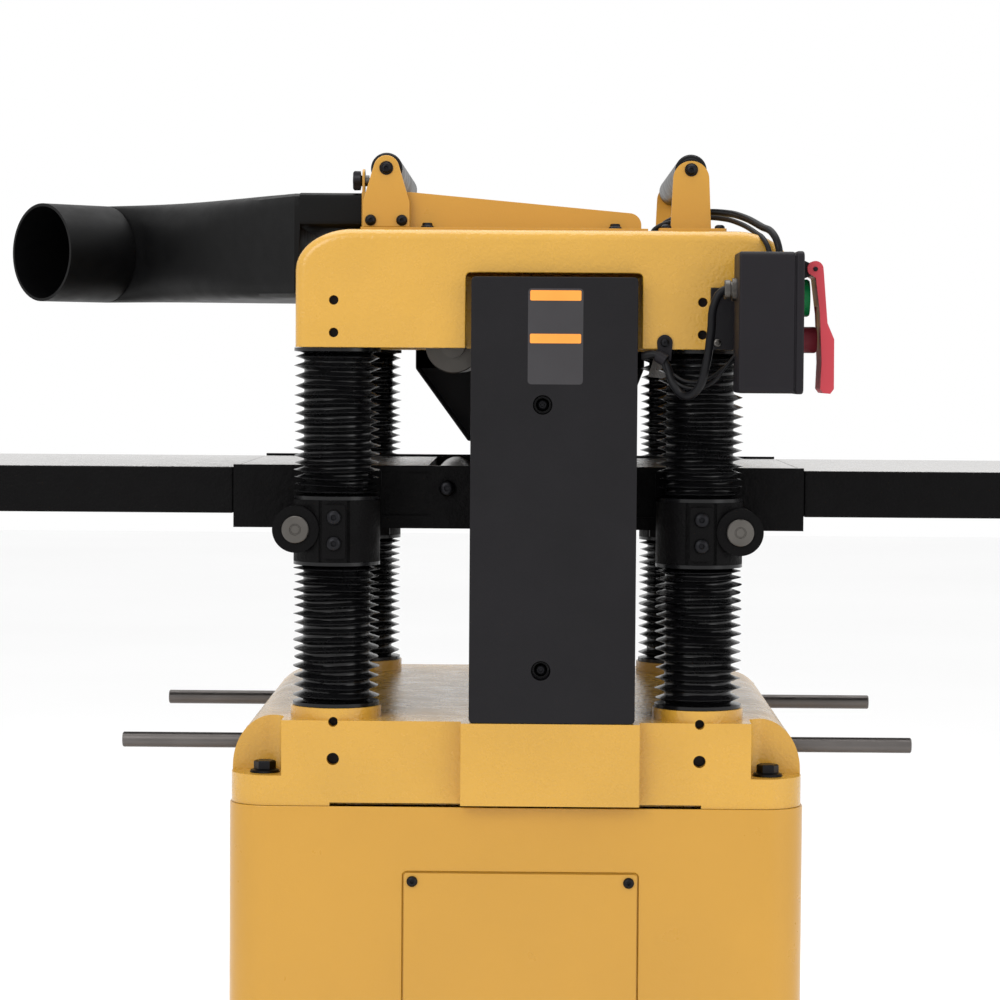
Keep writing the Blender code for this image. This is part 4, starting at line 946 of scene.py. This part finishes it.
def cutting_group():
    x, z, radius = CUTTER_X, CUTTER_Z, 0.0385
    profile = [(0, -0.29), (0.012, -0.29), (0.012, -0.214), (0.015, -0.214), (0.015, -0.192),
               (radius, -0.192), (radius, 0.192), (0.015, 0.192), (0.015, 0.214), (0.012, 0.214),
               (0.012, 0.306), (0, 0.306)]
    core = turned("cutterhead_core", profile, (x, 0, z), (0, 1, 0), 64)
    inserts = [core]
    rows, per_row = 6, 13
    for row in range(rows):
        for k in range(per_row):
            y = -0.18 + 0.36 * k / (per_row - 1) + 0.027 * row / rows * (1 if k < per_row - 1 else 0)
            angle = math.tau * (row / rows + 0.3 * k / per_row)
            cutter = box(f"insert_{row}_{k}", (-0.007, 0.007), (-0.007, 0.007), (0.0365, 0.0398))
            turn = Matrix.Rotation(angle, 4, "Y")
            cutter.data.transform(Matrix.Translation((x, y, z)) @ turn)
            inserts.append(cutter)
    dress(join("cutterhead_fine", inserts), STEEL, "cutterhead", body="cutterhead")
    for node, roller_x in (("outfeed_roller", -0.065), ("infeed_roller", 0.085)):
        half = [(0, 0.2145), (0.012, 0.2145), (0.012, 0.187), (0.0265, 0.187), (0.0275, 0.186)]
        far = [(0.0275, 0.186), (0.0265, 0.187), (0.012, 0.187), (0.012, 0.306), (0, 0.306)]
        body = turned(f"{node}_fine", [(r, -h) for r, h in half] + far, (roller_x, 0, FEED_Z), (0, 1, 0),
                      72)
        if node == "infeed_roller":
            for vert in body.data.vertices:
                out = Vector((vert.co.x - roller_x, 0, vert.co.z - FEED_Z))
                if out.length > 0.026:
                    angle = math.atan2(out.z, out.x)
                    tooth = round(angle / math.tau * 72) % 2
                    vert.co -= out.normalized() * (0.0014 * tooth)
            body.data.set_sharp_from_angle(angle=math.radians(12))
        dress(body, STEEL if node == "infeed_roller" else ZINC, node, body=node)
    for node in ("cutterhead_pulley", "anti_kickback_fingers", "motor_pulley"):
        coat(NODES[node], STEEL)
    coat(NODES["motor"], POWDER)
    coat(NODES["drive_belt"], BELT_RUBBER)


# ---------------------------------------------------------------- covers


def belt_cover():
    wall = 0.002
    x, y, z = zip(COVER_LOW, COVER_HIGH)
    outline = round_rectangle(x, z, 0.004, 5)
    cover = prism("belt_cover_fine", outline, *y)
    cuts = [
        box("cover_hollow", (x[0] + wall, x[1] - wall), (y[0] + wall, y[1] - wall),
            (z[0] - 0.01, z[1] - wall)),
        cross_rod("cover_bore", 0.022, CUTTER_X, CUTTER_Z, -0.27, -0.24, 40), ]
    holes = ((0.023, 0.8955), (0.023, 0.642))
    for hx, hz in holes:
        cuts.append(cross_rod(f"cover_hole_{hz}", 0.0093, hx, hz, -0.32, -0.298, 40))
    carve(cover, (), cuts)
    round_edges(cover, 0.0028, 4, lambda p: 0.2 if any(
        abs(p.x - hx) < 0.012 and abs(p.z - hz) < 0.012 for hx, hz in holes) else 1.0)
    dress(cover, POWDER, "belt_cover")
    for i, (hx, hz) in enumerate(holes):
        cup = turned(f"cover_cup_{i}", [
            (0.0091, 0.0), (0.0091, 0.0135), (0, 0.0135), (0, 0.012), (0.008, 0.012), (0.0084, 0.0)],
            (hx, y[0] + 0.0008, hz), (0, 1, 0), 40)
        dress(cup, POWDER)
        fastener(f"cover_screw_{i}", (hx, y[0] + 0.0128, hz), (0, -1, 0), 0.0125)
    plate = (0.0085, 0.061), (0.915, 1.006)
    skin = y[0] - GAP
    backing = prism("label_plate", round_rectangle(*plate, 0.0035, 5), skin, y[0] + 0.0005)
    dress(backing, LABEL_DARK)
    for i, (low, high) in enumerate(((0.9945, 1.0042), (0.954, 0.963))):
        band = prism(f"label_band_{i}", round_rectangle((0.0105, 0.059), (low, high), 0.0012, 3),
                     skin - 0.0002, skin + GAP)
        dress(band, LABEL_ORANGE)


def far_side_covers():
    outline = [(-0.06, 0.846), (0.108, 0.846), (0.14, 0.93), (0.14, 1.035), (-0.12, 1.035),
               (-0.12, 0.928)]
    back = HEAD_HIGH.y + GAP
    cover = prism("chain_cover_fine", outline, back, 0.32)
    centre = Vector((0.01, 0.945))
    inner = [tuple(centre + (Vector(p) - centre) * 0.97) for p in outline]
    carve(cover, (), [prism("chain_cover_hollow", inner, back - 0.01, 0.3175)])
    round_edges(cover, 0.004, 4)
    dress(cover, POWDER, "drive_chain_cover")
    for i, (x, z) in enumerate(((-0.108, 1.022), (0.128, 1.022), (0.128, 0.936), (0.098, 0.86),
                                (-0.052, 0.86), (-0.108, 0.936))):
        fastener(f"chain_cover_screw_{i}", (x, 0.32, z), (0, 1, 0), 0.009, skin=ZINC)
    low, high = extent("feed_gearbox")
    box_body = prism("gearbox_fine", round_rectangle((low.x, high.x), (low.z, high.z), 0.018, 10), low.y,
                     high.y)
    lid_outline = round_rectangle(
        (low.x + 0.006, high.x - 0.006), (low.z + 0.006, high.z - 0.006), 0.014, 10)
    lid = prism("gearbox_lid", lid_outline, high.y - 0.002, high.y + 0.003)
    bore = cross_rod("gearbox_bore", 0.0065, GEAR_X, GEAR_Z, 0.345, 0.39, 24)
    carve(box_body, [lid], [bore])
    round_edges(box_body, 0.0025, 3)
    dress(box_body, IRON, "feed_gearbox")
    for i, (x, z) in enumerate(((0.028, 0.903), (0.112, 0.903), (0.028, 0.987), (0.112, 0.987))):
        fastener(f"gearbox_screw_{i}", (x, high.y + 0.003, z), (0, 1, 0), 0.008, skin=ZINC)
    knob = turned("shift_knob_fine", [
        (0, 0.36), (0.006, 0.36), (0.006, 0.3925), (0.0125, 0.3935), (0.015, 0.396), (0.017, 0.405),
        (0.0155, 0.4115), (0.011, 0.4145), (0, 0.415)], (GEAR_X, 0, GEAR_Z), (0, 1, 0), 40)
    dress(knob, BLACK_PLASTIC, "feed_shift_knob", body="feed_shift_knob")


# ---------------------------------------------------------------- top of the head


def dust_hood():
    sheet, low, high, fall_x = 0.0025, HOOD_LOW.x, 0.119, -0.108
    bottom, top, front_top = HEAD_HIGH.z + GAP, HOOD_HIGH.z, 1.083
    fall = (top - front_top) / (high - fall_x)

    def outline(inset, base):
        rear = low - (0.02 if inset else 0)
        right, radius = high - inset, 0.012 - inset / 2
        peak = top - inset - fall * (right - fall_x) - radius
        return [(rear, base), (right, base), *arc((right - radius, peak), (radius, radius), 0, 84, 10),
                (fall_x, top - inset), (rear, top - inset)]

    y = HOOD_Y
    hood = prism("dust_hood_fine", outline(0, bottom), -y, y)
    flange = box("hood_flange", (low, high + 0.006), (-y - 0.02, y + 0.02), (bottom, bottom + 0.0047))
    carve(hood, [flange], [prism("hood_hollow", outline(sheet, bottom - 0.01), sheet - y, y - sheet)])
    round_edges(hood, 0.0022, 3)
    dress(hood, SHEET_PAINT, "dust_hood")
    for side in (-1, 1):
        for i, x in enumerate((-0.091, 0.093)):
            if i == 0 and side > 0:
                continue
            fastener(f"hood_bolt_{side}_{i}", (x, side * (y + 0.0105), bottom + 0.0047), (0, 0, 1), 0.01,
                     hexagonal=True)
        tab_x = (low + GAP, low + 0.0028)
        tab = prism(f"knob_tab_{side}", [(side * 0.173, top - 0.006), (side * 0.19, top - 0.006)]
                    + arc((side * KNOB_Y, 1.1165), (side * 0.0085, 0.0085), 0, 180, 10), *tab_x, "x")
        dress(round_edges(tab, 0.0005, 2), SHEET_PAINT)
        stud = [(0, 0), (0.0055, 0), (0.0055, 0.004), (0.003, 0.004), (0.003, 0.0085), (0, 0.0085)]
        nut = turned(f"knob_screw_{side}", stud, (tab_x[1], side * KNOB_Y, KNOB_Z), (1, 0, 0), 24)
        dress(nut, ZINC)
        profile = [(0, 0), (0.005, 0), (0.0055, 0.001), (0.0098, 0.0015), (0.01, 0.0075), (0.0085, 0.009),
                   (0, 0.0092)]
        knob = turned(f"chute_knob_{side}", profile, (low, side * KNOB_Y, KNOB_Z), (-1, 0, 0), 40)
        for vert in knob.data.vertices:
            out = Vector((0, vert.co.y - side * KNOB_Y, vert.co.z - KNOB_Z))
            if out.length > 0.008:
                vert.co -= out * (0.09 + 0.09 * math.cos(5 * math.atan2(out.z, out.y)))
        dress(knob, BLACK_PLASTIC)


def chute_ring(centre, half_width, half_height, roundness, yaw, count=96):
    """A cross-section of the chute: a rectangle that turns into a circle as roundness goes to 1."""
    points = []
    for i in range(count):
        angle = math.tau * (i + 0.5) / count
        c, s = math.cos(angle), math.sin(angle)
        power = 2.0 + 14.0 * (1.0 - roundness) ** 2.2
        stretch = (abs(c) ** power + abs(s) ** power) ** (-1.0 / power)
        across, up = half_width * c * stretch, half_height * s * stretch
        points.append(Vector(centre) + Vector((-across * math.sin(yaw), across * math.cos(yaw), up)))
    return points


def dust_chute():
    base, mouth = Vector((-0.4394, 0.0501)), Vector((-0.4995, -0.01))
    half_y, top, port_r, port_z = 0.188, 1.1022, 0.051, 1.047
    run = (base - mouth).normalized()
    across = Vector((-run.y, run.x)) * port_r
    yaw = math.atan2(run.y, run.x)
    deck_low, rear_low = HEAD_HIGH.z + 0.0055, 0.998
    deck = ((deck_low + top) / 2, (top - deck_low) / 2)
    rear = ((rear_low + top) / 2, (top - rear_low) / 2)
    sections = [((HOOD_LOW.x - GAP, 0, deck[0]), half_y, deck[1], 0.0, 0.0),
                ((-0.217, 0, deck[0]), half_y, deck[1], 0.0, 0.0),
                ((-0.2185, 0, rear[0]), half_y, rear[1], 0.02, 0.0)]
    near = (Vector((-0.2225, -half_y)), base - across)
    far = (Vector((-0.2225, half_y)), base + across)
    steps = 14
    for i in range(steps + 1):
        t = i / steps
        left, right = near[0].lerp(near[1], t), far[0].lerp(far[1], t)
        centre, reach = (left + right) / 2, right - left
        sections.append(((*centre, rear[0] + (port_z - rear[0]) * t), reach.length / 2,
                         rear[1] + (port_r - rear[1]) * t, max(0.02, t), math.atan2(-reach.x, reach.y)))
    for along, radius in ((0.0005, port_r - 0.0012), (0.0015, port_r - 0.0012), (0.002, port_r),
                          (0.5, port_r), (1.0, port_r)):
        place = base.lerp(mouth, along if along > 0.1 else along * 12)
        sections.append(((*place, port_z), radius, radius, 1.0, yaw))
    bm = bmesh.new()
    skins = []
    for wall in (0.0, 0.003):
        skins.append([[bm.verts.new(p) for p in chute_ring(c, w - wall, h - wall, r, a)]
                      for c, w, h, r, a in sections])
    count = len(skins[0][0])
    strips = [(rings[i], rings[i + 1]) for rings in skins for i in range(len(rings) - 1)]
    strips += [(skins[0][0], skins[1][0]), (skins[0][-1], skins[1][-1])]
    for first, second in strips:
        for i in range(count):
            j = (i + 1) % count
            bm.faces.new((first[i], first[j], second[j], second[i]))
    chute = new_object("dust_chute_fine", bm, smooth=38)
    round_edges(chute, 0.0008, 2)
    dress(chute, CHUTE_PLASTIC, "dust_chute")


def return_rollers():
    seat, arch_z = HEAD_HIGH.z + GAP, RETURN_Z - 0.009
    foot = HEAD_HIGH.z + 0.0053
    plates = {
        "rear": (REAR_ROLLER_X, [(REAR_ROLLER_X + 0.023, foot), (REAR_ROLLER_X + 0.023, 1.092)]
                 + arc((REAR_ROLLER_X, RETURN_Z), (0.0125, 0.0125), 15, 165, 18)
                 + [(REAR_ROLLER_X - 0.023, 1.092), (REAR_ROLLER_X - 0.023, foot)]),
        "front": (FRONT_ROLLER_X, [(FRONT_ROLLER_X + 0.02, seat)]
                  + arc((FRONT_ROLLER_X, arch_z), (0.0177, 0.0177), 0, 180, 20)
                  + [(FRONT_ROLLER_X - 0.02, seat)]),
    }
    for place, (x, outline) in plates.items():
        for name, side in (("left", -1), ("right", 1)):
            node = f"{place}_{name}_roller_bracket"
            face = side * 0.204
            plate = prism(f"{node}_fine", outline, *sorted((side * 0.2, face)))
            if place == "front":
                sole = round_rectangle((0.1353, 0.2007), on_side(side, 0.2, 0.2297), 0.003, 4)
                tread = prism(f"{node}_foot", sole, seat, seat + 0.0047, "z")
                carve(plate, [tread])
            round_edges(plate, 0.001, 2)
            dress(plate, SHEET_PAINT, node)
            size = 0.0109 if place == "rear" else 0.0105
            fastener(f"{node}_axle_screw", (x, face, RETURN_Z), (0, side, 0), size, washer=size * 0.62)
            if place == "rear":
                for i, screw_x in enumerate((-0.1466, -0.116)):
                    fastener(f"{node}_screw_{i}", (screw_x, face, 1.074), (0, side, 0), 0.01,
                             washer=0.0055)
            else:
                for i, bolt_x in enumerate((0.1425, 0.1945)):
                    fastener(f"{node}_foot_bolt_{i}", (bolt_x, side * 0.217, HEAD_HIGH.z + 0.0055),
                             (0, 0, 1), 0.01)
    for node, x in (("rear_return_roller", REAR_ROLLER_X), ("front_return_roller", FRONT_ROLLER_X)):
        half = [(0, 0.1985), (0.005, 0.1985), (0.005, 0.197), (0.011, 0.197), (0.0118, 0.1962),
                (0.014, 0.1962), (0.0155, 0.1945)]
        profile = both_ways(half)
        roller = turned(f"{node}_fine", profile, (x, 0, RETURN_Z), (0, 1, 0), 56)
        dress(roller, ROLLER_RUBBER, node, body=node)


# ---------------------------------------------------------------- switch and leads


def switch():
    x = (0.203, SWITCH_HIGH.x)
    y, z = (SWITCH_LOW.y, -0.312), (SWITCH_LOW.z, SWITCH_HIGH.z)
    seam = 0.255

    def section(inset):
        side = (y[0] + inset, y[1] - inset)
        height = (z[0] + inset, z[1] - inset)
        return round_rectangle(side, height, 0.006, 6)

    body = prism("switch_box_fine", section(0.0006), x[0], seam - 0.0004, "x")
    lid = prism("switch_lid", section(0.0), seam + 0.0004, x[1], "x")
    neck = prism("switch_neck", section(0.002), seam - 0.001, seam + 0.001, "x")
    wells = [rod(f"well_{i}", r, (x[1] - 0.006, BUTTON_Y, bz), (x[1] + 0.01, BUTTON_Y, bz), 40)
             for i, (r, bz) in enumerate(((0.0178, START_Z), (0.0126, STOP_Z)))]
    carve(lid, (), wells)
    round_edges(body, 0.0022, 3)
    round_edges(lid, 0.0022, 3,
                lambda p: 0.1 if abs(p.y - BUTTON_Y) < 0.02 and 0.94 < p.z < 1.02 else 1.0)
    for piece in (body, lid, neck):
        dress(piece, BLACK_PLASTIC)
    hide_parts("switch_box")
    mount = box("switch_mount_plate", (0.182, 0.258), (-0.297, -HEAD_HIGH.y - GAP), (0.949, 1.008))
    dress(round_edges(mount, 0.001, 2), POWDER)
    arm = box("switch_mount_arm", (0.206, 0.258), (-0.313, -0.296), (0.952, 1.005))
    dress(round_edges(arm, 0.0008, 2), POWDER)
    for i, mz in enumerate((0.9555, 1.001)):
        fastener(f"mount_screw_{i}", (0.1885, -0.297, mz), (0, -1, 0), 0.0075, skin=ZINC)
    # The stop button takes the darkened red, which is painted shade under the paddle.
    for node, radius, bz, skin in (
            ("start_button", 0.0175, START_Z, GREEN), ("stop_button", 0.0123, STOP_Z, SHADE_DARKENED_RED)):
        low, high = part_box(node)
        tall = high[0] - low[0]
        profile = [(0, 0), (radius, 0), (radius, tall - 0.0022), (radius - 0.0012, tall - 0.0004),
                   (0, tall)]
        dress(turned(f"{node}_fine", profile, (low[0], BUTTON_Y, bz), (1, 0, 0), 48), skin, node,
              body=node)
        inner, outer = radius + 0.0008, radius + 0.0034
        guard = turned(f"{node}_guard", [(inner, 0), (outer, 0), (outer, 0.0012), (inner, 0.0012)],
                       (x[1], BUTTON_Y, bz), (1, 0, 0), 48, closed=True)
        dress(guard, BLACK_PLASTIC)
    low, high = extent("stop_paddle")
    px, pz = frame_joint("stop_paddle_swing")
    outline = arc((px, pz), (0.0075, 0.0075), 0, 215, 16)
    outline += [(px + dx, pz - dz) for dx, dz in (
        (0.0003, 0.008), (0.0045, 0.0415), (0.0065, 0.086), (0.0055, 0.111), (0.0085, 0.115),
        (0.015, 0.1155), (0.0183, 0.111), (0.0181, 0.065), (0.0117, 0.05), (0.008, 0.0052))]
    paddle = prism("stop_paddle_fine", outline, low.y, high.y)
    scoop = [(px - 0.02, 0.99), (px - 0.02, 0.95), (px + 0.0065, 0.95), (px + 0.005, 0.99)]
    carve(paddle, (), [prism("paddle_scoop", scoop, low.y + 0.004, high.y - 0.004)])
    round_edges(paddle, 0.0016, 3)
    dress(paddle, RED, "stop_paddle", body="stop_paddle")
    pin = rod("paddle_pin", 0.0022, (px, low.y - 0.0012, pz), (px, high.y + 0.0012, pz), 20, 0.0005)
    dress(pin, BOLT_BLACK, body="stop_paddle")
    ear = [(x[1] - 0.001, pz - 0.01), (px + 0.001, pz - 0.004), (px + 0.001, pz + 0.003),
           (x[1] - 0.001, pz + 0.009)]
    for i, y_mid in enumerate((low.y + 0.006, high.y - 0.006)):
        lug = prism(f"paddle_lug_{i}", ear, y_mid - 0.001, y_mid + 0.001)
        dress(lug, BLACK_PLASTIC)
    thread = [(0.0052, 0), (0.0085, 0), (0.0092, 0.001), (0.0092, 0.0052), (0.0078, 0.006),
              (0.0078, 0.0072), (0.0108, 0.0072), (0.0108, 0.0112), (0.0052, 0.0112)]
    gland = turned("cable_gland", thread, (x[0] - 0.011, BUTTON_Y, 1.005), (1, 0, 0), 24, closed=True)
    gland.data.set_sharp_from_angle(angle=math.radians(20))
    dress(gland, ZINC)


def frame_joint(name):
    """The x and z of a hinge's axis, from the record."""
    for joint in frame["record"]["behaviour"]["joints"]:
        if joint["name"] == name:
            return joint["pos_m"][0], joint["pos_m"][2]
    raise KeyError(name)


def lead(name, points, diameter, skin, *nodes):
    """A round lead on one smooth curve through its points."""
    curve = bpy.data.curves.new(name, "CURVE")
    curve.dimensions = "3D"
    curve.bevel_depth = diameter / 2
    curve.bevel_resolution = 6
    curve.use_fill_caps = True
    curve.resolution_u = 10
    spline = curve.splines.new("BEZIER")
    spline.bezier_points.add(len(points) - 1)
    for knot, place in zip(spline.bezier_points, points):
        knot.co = place
        knot.handle_left_type = knot.handle_right_type = "AUTO"
    return dress(link_object(name, curve), skin, *nodes)


def leads():
    lead("motor_cable_fine", [
        (0.2, -0.345, 1.005), (0.191, -0.345, 1.004), (0.183, -0.345, 0.992), (0.18, -0.343, 0.965),
        (0.176, -0.338, 0.935), (0.169, -0.328, 0.912), (0.158, -0.316, 0.905), (0.147, -0.304, 0.916),
        (0.139, -0.297, 0.936), (0.13, -0.293, 0.944), (0.1175, -0.29, 0.9425)], 0.008, JACKET,
        "motor_cable")
    lead("control_lead_fine", [
        (0.138, -0.15, 1.063), (0.14, -0.15, 1.07), (0.156, -0.155, 1.08), (0.18, -0.17, 1.0845),
        (0.2, -0.195, 1.0835), (0.217, -0.232, 1.0775), (0.232, -0.268, 1.067), (0.2405, -0.288, 1.0605),
        (0.2455, -0.2985, 1.048), (0.247, -0.3005, 1.034), (0.247, -0.306, 1.025),
        (0.247, -0.311, 1.024)], 0.007, JACKET, "control_lead")
    lead("twin_lead", [
        (0.13, -0.16, 1.063), (0.134, -0.158, 1.069), (0.152, -0.164, 1.076), (0.176, -0.182, 1.079),
        (0.196, -0.208, 1.0775), (0.212, -0.24, 1.0715), (0.226, -0.272, 1.061), (0.233, -0.2915, 1.053),
        (0.237, -0.3, 1.042), (0.2385, -0.303, 1.034), (0.239, -0.3115, 1.029)], 0.005, JACKET)
    for i, (drop, side) in enumerate(((0.0, -0.2975), (0.006, -0.3015))):
        lead(f"sagging_lead_{i}", [
            (0.136, side + 0.002, 0.942), (0.14, side, 0.934 - drop), (0.15, side - 0.004, 0.923 - drop),
            (0.164, side - 0.012, 0.918 - drop), (0.18, side - 0.022, 0.922 - drop),
            (0.195, side - 0.03, 0.933), (0.205, side - 0.034, 0.94 + drop)], 0.0034, JACKET)
    clip_x, clip_z, face = 0.139, 0.9555, -HEAD_HIGH.y
    tab = prism("clip_tab", arc((clip_x, clip_z), (0.0075, 0.0075), 0, 180, 12)
                + [(clip_x - 0.006, 0.938), (clip_x + 0.006, 0.938)], face - 0.0022, face - GAP)
    dress(round_edges(tab, 0.0005, 2), BLACK_PLASTIC)
    loop = turned("clip_loop", [(0.0044, -0.005), (0.006, -0.005), (0.006, 0.005), (0.0044, 0.005)],
                  (clip_x - 0.003, -0.2965, 0.9405), (-0.75, 0.25, 0.45), 24, closed=True)
    dress(loop, BLACK_PLASTIC)
    fastener("clip_screw", (clip_x, face - 0.0022, clip_z), (0, -1, 0), 0.0085)


# ---------------------------------------------------------------- studio


def area_light(name, place, target, size, power):
    light = bpy.data.lights.new(name, "AREA")
    light.shape = "RECTANGLE"
    light.size, light.size_y = size
    light.energy = power
    lamp = link_object(name, light)
    lamp.location = place
    lamp.rotation_euler = (Vector(target) - Vector(place)).to_track_quat("-Z", "Y").to_euler()


def studio():
    scene = bpy.context.scene
    scene.view_settings.view_transform = "Standard"
    bm = bmesh.new()
    bmesh.ops.create_grid(bm, x_segments=1, y_segments=1, size=14.0)
    floor = new_object("studio_floor", bm)
    s = Shader("floor_white", (0.95, 0.95, 0.95), 0.9)
    s.mottle(0.6, 0.01)
    floor.data.materials.append(s.material)
    floor.location.z = -0.0005
    world = bpy.data.worlds.new("studio_world")
    world.use_nodes = True
    background = world.node_tree.nodes["Background"]
    background.inputs["Color"].default_value = (1.0, 1.0, 1.0, 1.0)
    background.inputs["Strength"].default_value = 1.0
    scene.world = world
    target = (0, 0, 0.85)
    area_light("key_light", (-1.6, -2.8, 2.6), target, (1.6, 1.6), 34)
    area_light("fill_light", (2.6, -2.2, 1.6), target, (1.4, 2.0), 18)
    area_light("top_light", (0.0, 0.2, 3.2), target, (2.4, 2.4), 40)
    lens = bpy.data.cameras.new("photo_camera")
    lens.sensor_width = 36.0
    lens.lens = 113.87
    lens.clip_end = 60.0
    camera = link_object("photo_camera", lens)
    yaw, pitch, roll = math.radians(0.5887), math.radians(-2.48), math.radians(0.4)
    camera.location = (0.014, -3.31, 0.935)
    turn = Matrix.Rotation(yaw, 4, "Z") @ Matrix.Rotation(math.radians(90) + pitch, 4, "X")
    camera.rotation_euler = (turn @ Matrix.Rotation(roll, 4, "Z")).to_euler()
    scene.camera = camera


def main():
    cabinet()
    base_casting()
    columns_and_bellows()
    table()
    roller_end_screws()
    extensions()
    bed_rollers()
    table_locks()
    raising_gear()
    handwheel()
    lift_bars()
    head_casting()
    cutting_group()
    belt_cover()
    far_side_covers()
    dust_hood()
    dust_chute()
    return_rollers()
    switch()
    leads()
    studio()


main()
